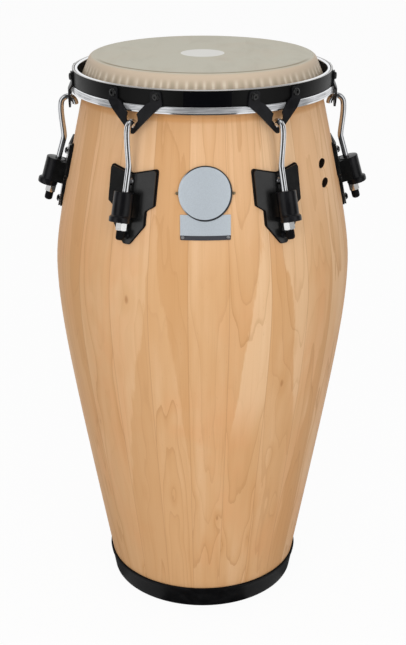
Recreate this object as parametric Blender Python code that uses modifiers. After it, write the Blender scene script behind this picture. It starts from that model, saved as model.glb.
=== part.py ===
# Conga drum: stave shell, skin head, steel rim with six V brackets, and six
# tuning lugs, each with a hook, a nut, a barrel and a bolted side plate.
# Metres, +Z up, front towards -Y. The origin is on the drum's axis, at the floor.
# An azimuth of 0 is the front, and it grows towards +X.

import math

import bmesh
import bpy
from mathutils import Matrix, Vector

mm = 0.001

# General
GAP = 0.3 * mm              # running gap between neighbouring pieces
RING_STEPS = 48             # facets round the drum
SIDE_FACETS = 2             # of them, each side of a lug's or the badge's middle
PROFILE_STEPS = 6           # facets from the belly to each end of the shell
SMALL_SIDES = 6             # facets round shanks, wires and their holes
HEAD_SIDES = 10             # facets round heads, caps and rod bores
DISC_SIDES = 36             # facets round the badge disc
THROUGH = 1.5               # length of a cutter that passes the wall, in walls
HEAD_CROWN = 0.6            # top of a domed head or cap, as a share of its radius
LUG_COUNT = 6
FIRST_LUG = -30.0           # azimuth of the lug left of the badge, in degrees

# Shell
TOTAL_HEIGHT = 762 * mm     # floor to the playing surface
BELLY_RADIUS = 199.8 * mm
BELLY_HEIGHT = 481 * mm
TOP_SLOPE = 0.2335          # how fast the shell narrows above the belly
TOP_CURVE = 13 * mm         # how gently that starts
FOOT_SLOPE = 0.178
FOOT_CURVE = 17.5 * mm
SHELL_WALL = 13 * mm
EDGE_ROUND = 6.5 * mm       # outer rounding of the bearing edge
EDGE_INNER = 3 * mm         # chamfer inside the bearing edge
PORT_RADIUS = 5.8 * mm      # two open holes in the right side
PORT_AZIMUTH = 60.0
PORT_SIDES = 12
PORT_DROP = 124.9 * mm      # playing surface to the upper hole
PORT_SPACING = 24.6 * mm

# Foot ring
FOOT_PAD = 4 * mm           # rubber under the shell
FOOT_WALL = 2 * mm
FOOT_RING_HEIGHT = 32 * mm
FOOT_LIP = 5 * mm
FOOT_LIP_PROUD = 0.9 * mm
FOOT_INSIDE_HEIGHT = 16 * mm

# Skin
SKIN_THICKNESS = 1.2 * mm
COLLAR_FLARE = 24.0         # degrees from the vertical

# Rim
RIM_DROP = 15 * mm          # playing surface to the top of the rim
BEAD_INSIDE = 1.7 * mm      # how far the rolled edge stands in from the rim's wall
RIM_WALL = 2.5 * mm
RIM_CLEARANCE = 0.5 * mm    # collar to rim
SHOULDER_HEIGHT = 3.7 * mm  # step that bears on the flesh hoop
POCKET_WALL = 2.1 * mm
POCKET_SKIRT = 2.4 * mm     # how far the rim reaches below the hoop's centre
HOOP_WIRE = 3.2 * mm        # radius of the flesh hoop's bar
BAND_DROP = 0.6 * mm        # the rim's top to the band's
BAND_HEIGHT = 19.1 * mm
BAND_THICKNESS = 2.5 * mm

# V brackets
BRACKET_THICKNESS = 2.5 * mm
BRACKET_STANDOFF = 2.7 * mm  # gap from the rim's widest place to the straps
BRACKET_TIP_DROP = 37.5 * mm  # band's lower edge to the V's point
BRACKET_REACH = 38 * mm     # half the width across the V's arms
BRACKET_INNER = 17 * mm     # half the V's opening at the band
KEYHOLE_WIDTH = 8.2 * mm    # half the width of the wide part of the V's slot
KEYHOLE_NECK = 6.6 * mm     # half the width above it
KEYHOLE_FOOT = 5.5 * mm     # the slot's end to where it widens
KEYHOLE_TOP = 13 * mm       # the slot's end to where it narrows again
KEYHOLE_HEIGHT = 17.5 * mm  # the slot's end to where the arms part
TAB_WIDTH = 13 * mm
TAB_ROUND = 3 * mm
TAB_INSET = 2 * mm          # band's upper edge to the tab's
TAB_FOOT = 1 * mm           # tab's end above the band's lower edge
SLOT_ROUND = 3.5 * mm       # inner corners of the V
TIP_ROUND = 4 * mm          # outer corner of the V
STRAP_BEND = 2 * mm         # bend above the band's lower edge
STRAP_BEND_DROP = 4 * mm    # second bend below the rim's shoulder
BOLT_ANGLE = 10.0           # degrees from the V's middle to a bolt
BOLT_RISE = 1 * mm          # bolts above the band's middle
BOLT_HEAD_RADIUS = 5 * mm
BOLT_HEAD_HEIGHT = 2.6 * mm
BOLT_RADIUS = 2.2 * mm
BOLT_HOLE_CLEARANCE = 0.4 * mm

# Tuning hooks
ROD_RADIUS = 4 * mm
HOOK_RADIUS = 9.4 * mm      # centre line of the bend over the V
HOOK_INSET = 2.05 * mm      # strap's middle to the bend's centre
HOOK_RISE = 7 * mm          # V's point to the bend's centre
HOOK_STEPS = 6              # facets of the bend, and of the curve below it
LOW_HANDLE = 0.14           # how far that curve keeps each end's direction,
HIGH_HANDLE = 0.3           # as shares of its span
HOOK_TIP = 3 * mm           # straight end past the bend
HOOK_LEAN = 12.0            # degrees that the bend is short of the rod's side
ROD_TILT = 16.5             # degrees that the rod leans out at its foot
ROD_STRAIGHT = 29 * mm      # straight rod above the barrel
APEX_LIFT = 1.9 * mm        # V's inner point above the bend's centre

# Barrels
BARREL_RADIUS = 12.5 * mm
BARREL_LENGTH = 37.5 * mm
LUG_DROP = 141.1 * mm       # playing surface to where the barrel's top meets its plate
BARREL_EDGE = 0.9 * mm
BARREL_SIDES = 16           # facets round a barrel
SKIRT_HEIGHT = 6 * mm
SKIRT_GROWTH = 0.6 * mm
SKIRT_SHIFT = 3 * mm
BORE_INSET = 3 * mm         # rod's axis, nearer to the shell than the barrel's
BORE_CLEARANCE = 0.4 * mm

# Nuts and caps
NUT_FLATS = 13 * mm
NUT_HEIGHT = 9.5 * mm
CAP_RADIUS = 5.3 * mm
CAP_LENGTH = 11.5 * mm
CAP_END = 1.6 * mm
CAP_ROUND = 2.6 * mm        # length of the rounded end

# Side plates, with heights measured from where the barrel's top meets the plate
NOTCH_RISE = 21.1 * mm      # notch at the plate's middle
TIP_DROP = 62.4 * mm
WING_TOP_RISE = 29.1 * mm
WING_FOOT_DROP = 13.9 * mm
STEM_TOP_DROP = 20.9 * mm
STEM_FOOT_DROP = 39.4 * mm
WING_ROUND = 3.5 * mm
STEM_ROUND = 3 * mm
TIP_ROUNDING = 4 * mm
WING_WIDTH = 32.2 * mm      # half widths
STEM_WIDTH = 21.5 * mm
TIP_WIDTH = 4 * mm
PLATE_STAND = 6 * mm        # shell to the plate's middle ridge
PLATE_FACET = 6.0           # degrees that each half falls away
GASKET_THICKNESS = 2.4 * mm
GASKET_BORDER = 1.2 * mm
SADDLE_WIDTH = 12.5 * mm    # half width of the barrel's cradle
SADDLE_DEPTH = 6.5 * mm     # cradle's face to the barrel's axis
SADDLE_START = 0.6 * mm
SADDLE_LENGTH = 29 * mm

# Plate screws, measured from the same place
UPPER_SCREW_RISE = 13.1 * mm
LOWER_SCREW_DROP = 52.4 * mm
SCREW_RADIUS = 2.2 * mm
SCREW_HEAD_RADIUS = 4.8 * mm
SCREW_HEAD_HEIGHT = 3 * mm
SCREW_CLEARANCE = 0.4 * mm

# Badge
BADGE_DROP = 138 * mm       # playing surface to the disc's middle
BADGE_RADIUS = 32.8 * mm
BADGE_THICKNESS = 0.8 * mm
LABEL_WIDTH = 30.8 * mm     # half width
LABEL_DROP = 25.5 * mm      # disc's middle to the label's upper edge
LABEL_HEIGHT = 30 * mm
NAIL_RADIUS = 0.8 * mm
NAIL_HEAD_RADIUS = 2 * mm
NAIL_HEAD_HEIGHT = 0.9 * mm
NAIL_LENGTH = 12 * mm
NAIL_CLEARANCE = 0.35 * mm
NAIL_MARGIN = 3.3 * mm      # label's corner to its nails, on each side

# Colours, roughness and metallic value
FINISHES = {
    "wood": ((0.74, 0.47, 0.22), 0.35, 0.0),
    "skin": ((0.47, 0.44, 0.35), 0.55, 0.0),
    "chrome": ((0.80, 0.81, 0.83), 0.08, 1.0),
    "black": ((0.012, 0.012, 0.013), 0.3, 0.0),
    "rubber": ((0.010, 0.010, 0.010), 0.6, 0.0),
    "badge": ((0.58, 0.61, 0.66), 0.35, 1.0),
    "nail": ((0.55, 0.45, 0.30), 0.35, 1.0),
}

# Heights of the fittings
lug_z = TOTAL_HEIGHT - LUG_DROP
notch_z = lug_z + NOTCH_RISE
plate_tip_z = lug_z - TIP_DROP
wing_top = lug_z + WING_TOP_RISE
wing_foot = lug_z - WING_FOOT_DROP
stem_top = lug_z - STEM_TOP_DROP
stem_foot = lug_z - STEM_FOOT_DROP
upper_screw_z = lug_z + UPPER_SCREW_RISE
lower_screw_z = lug_z - LOWER_SCREW_DROP
badge_z = TOTAL_HEIGHT - BADGE_DROP
label_top = badge_z - LABEL_DROP
label_bottom = label_top - LABEL_HEIGHT
port_high = TOTAL_HEIGHT - PORT_DROP
port_low = port_high - PORT_SPACING

lug_azimuths = [FIRST_LUG + i * 360.0 / LUG_COUNT for i in range(LUG_COUNT)]
step_angle = 360.0 / RING_STEPS


def shell_radius(z):
    """Outer radius of the shell at a height."""
    slope = TOP_SLOPE if z > BELLY_HEIGHT else FOOT_SLOPE
    curve = TOP_CURVE if z > BELLY_HEIGHT else FOOT_CURVE
    return BELLY_RADIUS - math.hypot(slope * (z - BELLY_HEIGHT), curve) + curve


def shell_stations(end):
    """Heights from the belly to an end, closer together where the shell curves most."""
    scale = TOP_CURVE / TOP_SLOPE if end > BELLY_HEIGHT else FOOT_CURVE / FOOT_SLOPE
    reach = math.asinh((end - BELLY_HEIGHT) / scale)
    return [BELLY_HEIGHT + scale * math.sinh(reach * k / PROFILE_STEPS) for k in range(PROFILE_STEPS + 1)]


foot_z = FOOT_PAD + GAP

# Bearing edge and skin shoulder share one centre.
shoulder_z = TOTAL_HEIGHT - SKIN_THICKNESS - GAP - EDGE_ROUND
side_angle = math.pi / 2 - math.atan(TOP_SLOPE)
touch_z = shoulder_z + EDGE_ROUND * math.cos(side_angle)
shoulder_r = shell_radius(touch_z) - EDGE_ROUND * math.sin(side_angle)
shoulder_out = EDGE_ROUND + GAP + SKIN_THICKNESS
collar_angle = math.radians(90 - COLLAR_FLARE)
collar_top_r = shoulder_r + shoulder_out * math.sin(collar_angle)
collar_top_z = shoulder_z + shoulder_out * math.cos(collar_angle)


def collar_radius(z):
    """Outer radius of the skin's collar at a height."""
    return collar_top_r + (collar_top_z - z) * math.tan(math.radians(COLLAR_FLARE))


# Rim, band and flesh hoop
rim_top = TOTAL_HEIGHT - RIM_DROP
band_top = rim_top - BAND_DROP
band_bottom = band_top - BAND_HEIGHT
shoulder_top = band_bottom - GAP
pocket_top = shoulder_top - SHOULDER_HEIGHT
hoop_z = pocket_top - GAP - HOOP_WIRE
hoop_r = collar_radius(hoop_z)
pocket_in = hoop_r + HOOP_WIRE + GAP
pocket_out = pocket_in + POCKET_WALL
wall_in = collar_radius(pocket_top) + RIM_CLEARANCE
wall_out = wall_in + RIM_WALL
band_in = wall_out + GAP
band_out = band_in + BAND_THICKNESS
bolt_z = (band_top + band_bottom) / 2 + BOLT_RISE
tab_in = band_out + GAP
strap_in = pocket_out + BRACKET_STANDOFF
tip_z = band_bottom - BRACKET_TIP_DROP

# Side plate: the middle ridge is a straight line down the plate.
ridge_top_r = shell_radius(notch_z) + PLATE_STAND
ridge_foot_r = shell_radius(plate_tip_z) + PLATE_STAND
ridge_slope = (ridge_foot_r - ridge_top_r) / (notch_z - plate_tip_z)
plate_tilt = math.atan(ridge_slope)
gasket_out = GAP + GASKET_THICKNESS


def ridge_radius(z):
    """Radius of the side plate's outer ridge at a height."""
    return ridge_top_r + (notch_z - z) * ridge_slope


# Rod axis: a point at the barrel's top face, and directions in the lug's own
# plane as (radius, height).
tilt = math.radians(ROD_TILT)
rod_down = Vector((math.sin(tilt), -math.cos(tilt)))
rod_out = Vector((math.cos(tilt), math.sin(tilt)))
barrel_corner = Vector((ridge_radius(lug_z) + GAP, lug_z))
barrel_top = barrel_corner + rod_out * BARREL_RADIUS
rod_top = barrel_top - rod_out * BORE_INSET

# Hook over the V's strap
strap_middle = strap_in + BRACKET_THICKNESS / 2
hook_centre = Vector((strap_middle + HOOK_INSET, tip_z + HOOK_RISE))
apex_z = hook_centre.y + APEX_LIFT

part_collection = bpy.data.collections.new("conga")
cutter_collection = bpy.data.collections.new("cutters")


# Helpers: every solid is modelled at azimuth 0, where the radius runs along -Y.

def clear_scene():
    for item in list(bpy.data.objects):
        bpy.data.objects.remove(item, do_unlink=True)
    bpy.context.scene.collection.children.link(part_collection)
    bpy.context.scene.collection.children.link(cutter_collection)


def make_material(name, colour, roughness, metallic):
    material = bpy.data.materials.new(name)
    material.use_nodes = True
    shader = material.node_tree.nodes["Principled BSDF"]
    shader.inputs["Base Color"].default_value = (*colour, 1.0)
    shader.inputs["Roughness"].default_value = roughness
    shader.inputs["Metallic"].default_value = metallic
    material.diffuse_color = (*colour, 1.0)
    return material


def cutter(name, data):
    """A helper object that the model itself leaves out."""
    item = bpy.data.objects.new(name, data)
    item.hide_render = True
    item.display_type = "WIRE"
    cutter_collection.objects.link(item)
    return item


def evaluated_mesh(item, name):
    """The object's mesh with its modifiers and its placement applied."""
    graph = bpy.context.evaluated_depsgraph_get()
    graph.update()
    mesh = bpy.data.meshes.new_from_object(item.evaluated_get(graph), depsgraph=graph)
    mesh.transform(item.matrix_world)
    mesh.name = name
    work = bmesh.new()
    work.from_mesh(mesh)
    bmesh.ops.remove_doubles(work, verts=work.verts, dist=0.001 * mm)
    work.to_mesh(mesh)
    work.free()
    bpy.data.objects.remove(item, do_unlink=True)
    return mesh


def mesh_from(work, name):
    mesh = bpy.data.meshes.new(name)
    bmesh.ops.recalc_face_normals(work, faces=work.faces)
    work.to_mesh(mesh)
    work.free()
    return mesh


def turned(name, profile, closed=True):
    """A profile of (radius, height) points turned round the drum's axis."""
    count = len(profile)
    last = count if closed else count - 1
    mesh = bpy.data.meshes.new(name)
    points = [(r, 0.0, z) for r, z in profile]
    mesh.from_pydata(points, [(i, (i + 1) % count) for i in range(last)], [])
    item = cutter(name, mesh)
    screw = item.modifiers.new("turn", "SCREW")
    screw.angle = math.radians(360)
    screw.steps = RING_STEPS
    screw.render_steps = RING_STEPS
    screw.use_merge_vertices = True
    screw.merge_threshold = 0.00001
    screw.use_normal_calculate = True
    result = evaluated_mesh(item, name)
    work = bmesh.new()
    work.from_mesh(result)
    bpy.data.meshes.remove(result)
    return mesh_from(work, name)


def sector(name, profile, steps):
    """The same turning over a few facets each side of the front, with closed ends."""
    start = math.radians(-90 - steps * step_angle)
    work = bmesh.new()
    points = [Vector((r * math.cos(start), r * math.sin(start), z)) for r, z in profile]
    face = work.faces.new([work.verts.new(point) for point in points])
    bmesh.ops.spin(work, geom=[face] + list(face.edges) + list(face.verts), cent=(0, 0, 0),
                   axis=(0, 0, 1), angle=math.radians(2 * steps * step_angle),
                   steps=2 * steps, use_duplicate=False)
    bmesh.ops.remove_doubles(work, verts=work.verts, dist=0.001 * mm)
    return mesh_from(work, name)


def prism(name, outline, near, far):
    """A flat (across, height) outline, extruded along the radius from near to far."""
    curve = bpy.data.curves.new(name, "CURVE")
    curve.dimensions = "2D"
    curve.fill_mode = "BOTH"
    curve.extrude = (far - near) / 2
    spline = curve.splines.new("POLY")
    spline.points.add(len(outline) - 1)
    for point, (x, z) in zip(spline.points, outline):
        point.co = (x, z, 0.0, 1.0)
    spline.use_cyclic_u = True
    item = cutter(name, curve)
    item.matrix_world = Matrix.Translation((0, -(near + far) / 2, 0)) @ Matrix.Rotation(math.pi / 2, 4, "X")
    bpy.context.view_layer.update()
    return evaluated_mesh(item, name)


def cone(name, segments, radius_top, radius_low, top, low, turn=0.0):
    """A capped cone or cylinder between two points, with a flat turned to face -Y."""
    work = bmesh.new()
    axis = Vector(top) - Vector(low)
    bmesh.ops.create_cone(work, cap_ends=True, segments=segments, radius1=radius_low,
                          radius2=radius_top, depth=axis.length)
    aim = axis.to_track_quat("Z", "Y").to_matrix().to_4x4()
    place = Matrix.Translation((Vector(top) + Vector(low)) / 2) @ aim
    bmesh.ops.transform(work, verts=work.verts, matrix=place @ Matrix.Rotation(turn, 4, "Z"))
    return mesh_from(work, name)


def joined(name, meshes):
    """Several separate cutters as one mesh."""
    work = bmesh.new()
    for mesh in meshes:
        work.from_mesh(mesh)
        bpy.data.meshes.remove(mesh)
    return mesh_from(work, name)


def combine(name, first, second, operation):
    """One Boolean step between two meshes."""
    item = cutter(name, first)
    tool = cutter(name + "_tool", second)
    step = item.modifiers.new("cut", "BOOLEAN")
    step.operation = operation
    step.solver = "EXACT"
    step.object = tool
    result = evaluated_mesh(item, name)
    bpy.data.objects.remove(tool, do_unlink=True)
    bpy.data.meshes.remove(first)
    bpy.data.meshes.remove(second)
    return result


def turn_round(mesh, azimuth):
    mesh.transform(Matrix.Rotation(math.radians(azimuth), 4, "Z"))
    return mesh


def in_plane(point, across=0.0):
    """A (radius, height) point of the lug's plane, in the model's space."""
    return Vector((across, -point[0], point[1]))


def rounded(outline, radii, steps=2):
    """The outline with each corner replaced by an arc."""
    result = []
    count = len(outline)
    for i, corner in enumerate(outline):
        corner = Vector(corner)
        before = (Vector(outline[i - 1]) - corner).normalized()
        after = (Vector(outline[(i + 1) % count]) - corner).normalized()
        radius = radii[i]
        if radius == 0:
            result.append(tuple(corner))
            continue
        half = before.angle(after) / 2
        centre = corner + (before + after).normalized() * radius / math.sin(half)
        start = corner + before * radius / math.tan(half) - centre
        sweep = start.angle_signed(corner + after * radius / math.tan(half) - centre)
        for k in range(steps + 1):
            turned_by = -sweep * k / steps
            cos_t = math.cos(turned_by)
            sin_t = math.sin(turned_by)
            point = (start.x * cos_t - start.y * sin_t, start.x * sin_t + start.y * cos_t)
            result.append((centre.x + point[0], centre.y + point[1]))
    return result


def mirrored(half):
    """A whole outline from the points of its +X half, listed top to bottom."""
    return half + flipped([point for point in half if point[0] > 0])


def flipped(points):
    """The points' mirror images across the middle, in reverse order."""
    return [(-x, z) for x, z in reversed(points)]


def finish(name, mesh, finish_name):
    """Put a mesh in the model as one named piece."""
    place_copy(name, mesh, finish_name, (0, 0, 0), 0.0)


def place_copy(name, mesh, finish_name, anchor, azimuth):
    item = bpy.data.objects.new(name, mesh)
    part_collection.objects.link(item)
    if not mesh.materials:
        mesh.materials.append(materials[finish_name])
        mesh.shade_smooth()
        mesh.set_sharp_from_angle(angle=math.radians(35))
    turn = Matrix.Rotation(math.radians(azimuth), 4, "Z")
    item.location = turn @ Vector(anchor)
    item.rotation_euler = (0, 0, math.radians(azimuth))


def around(name, mesh, finish_name, anchor=(0, 0, 0)):
    """One copy of a lug's piece at each lug."""
    anchor = Vector(anchor)
    mesh.transform(Matrix.Translation(-anchor))
    for i, azimuth in enumerate(lug_azimuths):
        place_copy(f"{name}_{i + 1}", mesh, finish_name, anchor, azimuth)


# Shell, foot ring and skin
shell_heights = shell_stations(foot_z)[:0:-1] + shell_stations(touch_z)


def arc(centre_r, centre_z, radius, start, end, steps):
    """Points round a centre, with angles in degrees from the vertical, clockwise."""
    points = []
    for k in range(steps + 1):
        angle = math.radians(start + (end - start) * k / steps)
        points.append((centre_r + radius * math.sin(angle), centre_z + radius * math.cos(angle)))
    return points


def circle(centre_r, centre_z, radius, sides):
    """The corners of a whole circle."""
    return arc(centre_r, centre_z, radius, 0, 360 * (1 - 1 / sides), sides - 1)


def layer(name, inner, outer, bottom):
    """An even layer over the shell's own facets near the front, from a height to the shell's top."""
    heights = [z for z in reversed(shell_heights) if z > BELLY_HEIGHT]
    heights.append(min(bottom, BELLY_HEIGHT))
    profile = [(shell_radius(z) + outer, z) for z in heights]
    profile += [(shell_radius(z) + inner, z) for z in reversed(heights)]
    return sector(name, profile, SIDE_FACETS)


def screw_line(z):
    """Where a plate screw crosses the plate's ridge, and its direction outwards."""
    outward = Vector((math.cos(plate_tilt), math.sin(plate_tilt)))
    seat = Vector((ridge_radius(z), z))
    return seat, outward


def screw_cutter(z, clearance):
    seat, outward = screw_line(z)
    reach = PLATE_STAND + THROUGH * SHELL_WALL
    radius = SCREW_RADIUS + clearance
    return cone("screw_hole", SMALL_SIDES, radius, radius, in_plane(seat + outward * PLATE_STAND),
                in_plane(seat - outward * reach))


def nail_places():
    """Azimuth, height and seat above the shell of each badge nail."""
    disc_side = BADGE_RADIUS + NAIL_RADIUS + NAIL_CLEARANCE + GAP
    disc_angle = math.degrees(disc_side / shell_radius(badge_z))
    label_z = label_bottom + NAIL_MARGIN
    label_angle = math.degrees((LABEL_WIDTH - NAIL_MARGIN) / shell_radius(label_z))
    disc_seat = 3 * GAP + 2 * BADGE_THICKNESS
    label_seat = 2 * GAP + BADGE_THICKNESS
    return [(-disc_angle, badge_z, disc_seat), (disc_angle, badge_z, disc_seat),
            (-label_angle, label_z, label_seat), (label_angle, label_z, label_seat)]


def nail_cutter(azimuth, z):
    radius = NAIL_RADIUS + NAIL_CLEARANCE
    outer = shell_radius(z) + NAIL_LENGTH
    inner = shell_radius(z) - THROUGH * SHELL_WALL
    return turn_round(cone("nail_hole", SMALL_SIDES, radius, radius, (0, -outer, z), (0, -inner, z)), azimuth)


def build_shell():
    outside = arc(shoulder_r, shoulder_z, EDGE_ROUND, 0, math.degrees(side_angle), 3)
    outside += [(shell_radius(z), z) for z in reversed(shell_heights[:-1])]
    inside = [(shell_radius(z) - SHELL_WALL, z) for z in shell_heights[::2]]
    inside.append((shell_radius(touch_z) - SHELL_WALL + EDGE_INNER, shoulder_z + EDGE_ROUND))
    mesh = turned("shell", outside + inside)
    holes = []
    for azimuth in lug_azimuths:
        for z in (upper_screw_z, lower_screw_z):
            holes.append(turn_round(screw_cutter(z, SCREW_CLEARANCE), azimuth))
    for azimuth, z, _ in nail_places():
        holes.append(nail_cutter(azimuth, z))
    for z in (port_low, port_high):
        outer = (0, -shell_radius(z) - SHELL_WALL, z)
        inner = (0, -shell_radius(z) + THROUGH * SHELL_WALL, z)
        port = cone("port", PORT_SIDES, PORT_RADIUS, PORT_RADIUS, outer, inner)
        holes.append(turn_round(port, PORT_AZIMUTH))
    finish("shell", combine("shell", mesh, joined("shell_holes", holes), "DIFFERENCE"), "wood")


def build_foot_ring():
    top = FOOT_RING_HEIGHT

    def outside(z):
        return shell_radius(z) + GAP + FOOT_WALL

    def inside(z):
        return shell_radius(z) - SHELL_WALL - GAP

    corner = FOOT_WALL / 2
    profile = [
        (shell_radius(top) + GAP, top),
        (outside(top) + FOOT_LIP_PROUD - corner, top),
        (outside(top) + FOOT_LIP_PROUD, top - corner),
        (outside(top - FOOT_LIP) + FOOT_LIP_PROUD, top - FOOT_LIP),
        (outside(top - FOOT_LIP), top - FOOT_LIP - FOOT_LIP_PROUD),
        (outside(corner), corner),
        (outside(0) - corner, 0),
        (inside(0) - FOOT_WALL, 0),
        (inside(FOOT_INSIDE_HEIGHT) - FOOT_WALL, FOOT_INSIDE_HEIGHT),
        (inside(FOOT_INSIDE_HEIGHT), FOOT_INSIDE_HEIGHT),
        (inside(foot_z), foot_z - GAP),
        (shell_radius(foot_z) + GAP, foot_z - GAP),
    ]
    finish("bottom_ring", turned("bottom_ring", profile), "rubber")


def build_skin():
    inner_r = EDGE_ROUND + GAP
    end = 90 - COLLAR_FLARE
    collar_in = SKIN_THICKNESS / math.cos(math.radians(COLLAR_FLARE))
    profile = [(0, TOTAL_HEIGHT)] + arc(shoulder_r, shoulder_z, shoulder_out, 0, end, 3)
    profile += [(collar_radius(pocket_top), pocket_top)]
    profile += [(collar_radius(pocket_top) - collar_in, pocket_top)]
    profile += arc(shoulder_r, shoulder_z, inner_r, end, 0, 3)
    profile += [(0, TOTAL_HEIGHT - SKIN_THICKNESS)]
    finish("head_skin", turned("head_skin", profile, closed=False), "skin")


# Rim, band and flesh hoop

def build_rim():
    bead = (RIM_WALL + BEAD_INSIDE) / 2
    start = math.degrees(math.asin((bead - BEAD_INSIDE) / bead)) - 180
    corner = POCKET_WALL / 2
    bulge_top = shoulder_top - corner
    skirt = hoop_z - POCKET_SKIRT
    profile = arc(wall_out - bead, rim_top - bead, bead, start, 90, 5)
    profile += [
        (wall_out, shoulder_top),
        (pocket_out - corner, shoulder_top),
        (pocket_out, bulge_top),
        (pocket_out, skirt + corner),
        (pocket_out - corner, skirt),
        (pocket_in, skirt),
        (pocket_in, pocket_top),
        (wall_in, pocket_top),
    ]
    finish("rim_hoop", turned("rim_hoop", profile), "chrome")


def build_band():
    profile = [(band_out, band_top), (band_out, band_bottom), (band_in, band_bottom), (band_in, band_top)]
    mesh = turned("rim_band", profile)
    radius = BOLT_RADIUS + BOLT_HOLE_CLEARANCE
    holes = []
    for azimuth in lug_azimuths:
        for side in (-BOLT_ANGLE, BOLT_ANGLE):
            outer = (0, -band_out - BAND_THICKNESS, bolt_z)
            inner = (0, -band_in + BAND_THICKNESS, bolt_z)
            holes.append(turn_round(cone("bolt_hole", SMALL_SIDES, radius, radius, outer, inner), azimuth + side))
    finish("rim_band", combine("rim_band", mesh, joined("band_holes", holes), "DIFFERENCE"), "black")


def build_flesh_hoop():
    profile = circle(hoop_r, hoop_z, HOOP_WIRE, SMALL_SIDES)
    finish("flesh_hoop", turned("flesh_hoop", profile), "chrome")


# V brackets: a bent steel layer, cut to the V's outline, with its two bolts

def bracket_outline():
    """The bracket from the front: two tabs on the band, and arms that meet in a V with a slot."""
    tab_side = tab_in * math.sin(math.radians(BOLT_ANGLE))
    tab_left = tab_side - TAB_WIDTH / 2
    tab_right = tab_side + TAB_WIDTH / 2
    bend = band_bottom + TAB_FOOT
    slot = ROD_RADIUS + 2 * GAP
    outer = [
        (tab_left, band_top - TAB_INSET),
        (tab_right, band_top - TAB_INSET),
        (max(BRACKET_REACH, tab_right), bend),
        (2 * slot, tip_z + 2 * slot),
    ]
    inner = [
        (slot, apex_z),
        (slot, apex_z + KEYHOLE_FOOT),
        (KEYHOLE_WIDTH, apex_z + KEYHOLE_FOOT + KEYHOLE_WIDTH - slot),
        (KEYHOLE_WIDTH, apex_z + KEYHOLE_TOP),
        (KEYHOLE_NECK, apex_z + KEYHOLE_HEIGHT),
        (BRACKET_INNER, bend),
        (tab_left, bend + TAB_WIDTH / 4),
    ]
    outer_radii = [TAB_ROUND, TAB_ROUND, 0, 0]
    inner_radii = [SLOT_ROUND, 0, 0, 0, 0, 0, 0]
    outline = outer + [(0, tip_z)] + flipped(outer) + flipped(inner) + inner
    radii = outer_radii + [TIP_ROUND] + outer_radii[::-1] + inner_radii[::-1] + inner_radii
    return rounded(outline, radii)


def build_brackets():
    thick = BRACKET_THICKNESS
    bend_top = band_bottom + STRAP_BEND
    bend_low = pocket_top - STRAP_BEND_DROP
    low = tip_z - 2 * thick
    high = band_top + 2 * thick
    lean = math.atan((strap_in - tab_in) / (bend_top - bend_low))
    drop = thick * math.tan(lean / 2)
    profile = [
        (tab_in, high), (tab_in, bend_top), (strap_in, bend_low), (strap_in, low),
        (strap_in + thick, low), (strap_in + thick, bend_low + drop),
        (tab_in + thick, bend_top + drop), (tab_in + thick, high),
    ]
    sheet = sector("bracket_sheet", profile, SIDE_FACETS)
    reach = strap_in + 4 * thick
    outline = prism("bracket_outline", bracket_outline(), tab_in - 4 * thick, reach)
    mesh = combine("v_bracket", sheet, outline, "INTERSECT")
    face = tab_in + thick
    for side in (-BOLT_ANGLE, BOLT_ANGLE):
        head = cone("bolt_head", HEAD_SIDES, BOLT_HEAD_RADIUS * HEAD_CROWN, BOLT_HEAD_RADIUS,
                    (0, -face - BOLT_HEAD_HEIGHT, bolt_z), (0, -face + thick / 2, bolt_z))
        shank = cone("bolt_shank", SMALL_SIDES, BOLT_RADIUS, BOLT_RADIUS,
                     (0, -face + thick / 4, bolt_z), (0, -band_in, bolt_z))
        mesh = combine("v_bracket", mesh, turn_round(head, side), "UNION")
        mesh = combine("v_bracket", mesh, turn_round(shank, side), "UNION")
    around("v_bracket", mesh, "black")


# Tuning hooks and nuts

barrel_foot = rod_top + rod_down * BARREL_LENGTH
nut_top = barrel_foot + rod_down * GAP
cap_top = nut_top + rod_down * (NUT_HEIGHT + GAP)
cap_foot = cap_top + rod_down * CAP_LENGTH
rod_foot = cap_foot - rod_down * (CAP_END + GAP)
rod_anchor = in_plane(rod_top)


def bezier(p0, p1, p2, p3, steps):
    points = []
    for k in range(1, steps):
        t = k / steps
        s = 1 - t
        points.append(p0 * s ** 3 + p1 * 3 * s * s * t + p2 * 3 * s * t * t + p3 * t ** 3)
    return points


def hook_line():
    """Centre line of the hook from the rod's foot to the tip, as (radius, height)."""
    bend_start = rod_top - rod_down * ROD_STRAIGHT
    lean = math.radians(HOOK_LEAN)
    bend_end = hook_centre + HOOK_RADIUS * Vector((math.cos(lean), math.sin(lean)))
    span = (bend_end - bend_start).length
    low_handle = bend_start - rod_down * span * LOW_HANDLE
    high_handle = bend_end - span * HIGH_HANDLE * Vector((-math.sin(lean), math.cos(lean)))
    points = [rod_foot, bend_start]
    points += bezier(bend_start, low_handle, high_handle, bend_end, HOOK_STEPS)
    for k in range(HOOK_STEPS + 1):
        angle = lean + (math.pi - lean) * k / HOOK_STEPS
        points.append(hook_centre + HOOK_RADIUS * Vector((math.cos(angle), math.sin(angle))))
    points.append(points[-1] - Vector((0, HOOK_TIP)))
    return points


def build_hooks():
    line = hook_line()
    curve = bpy.data.curves.new("tuning_hook", "CURVE")
    curve.dimensions = "3D"
    curve.bevel_depth = ROD_RADIUS
    curve.bevel_resolution = 2
    curve.use_fill_caps = True
    spline = curve.splines.new("POLY")
    spline.points.add(len(line) - 1)
    for point, place in zip(spline.points, line):
        point.co = (*in_plane(place), 1.0)
    mesh = evaluated_mesh(cutter("tuning_hook", curve), "tuning_hook")
    work = bmesh.new()
    work.from_mesh(mesh)
    around("tuning_hook", mesh_from(work, "tuning_hook"), "chrome", rod_anchor)


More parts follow.
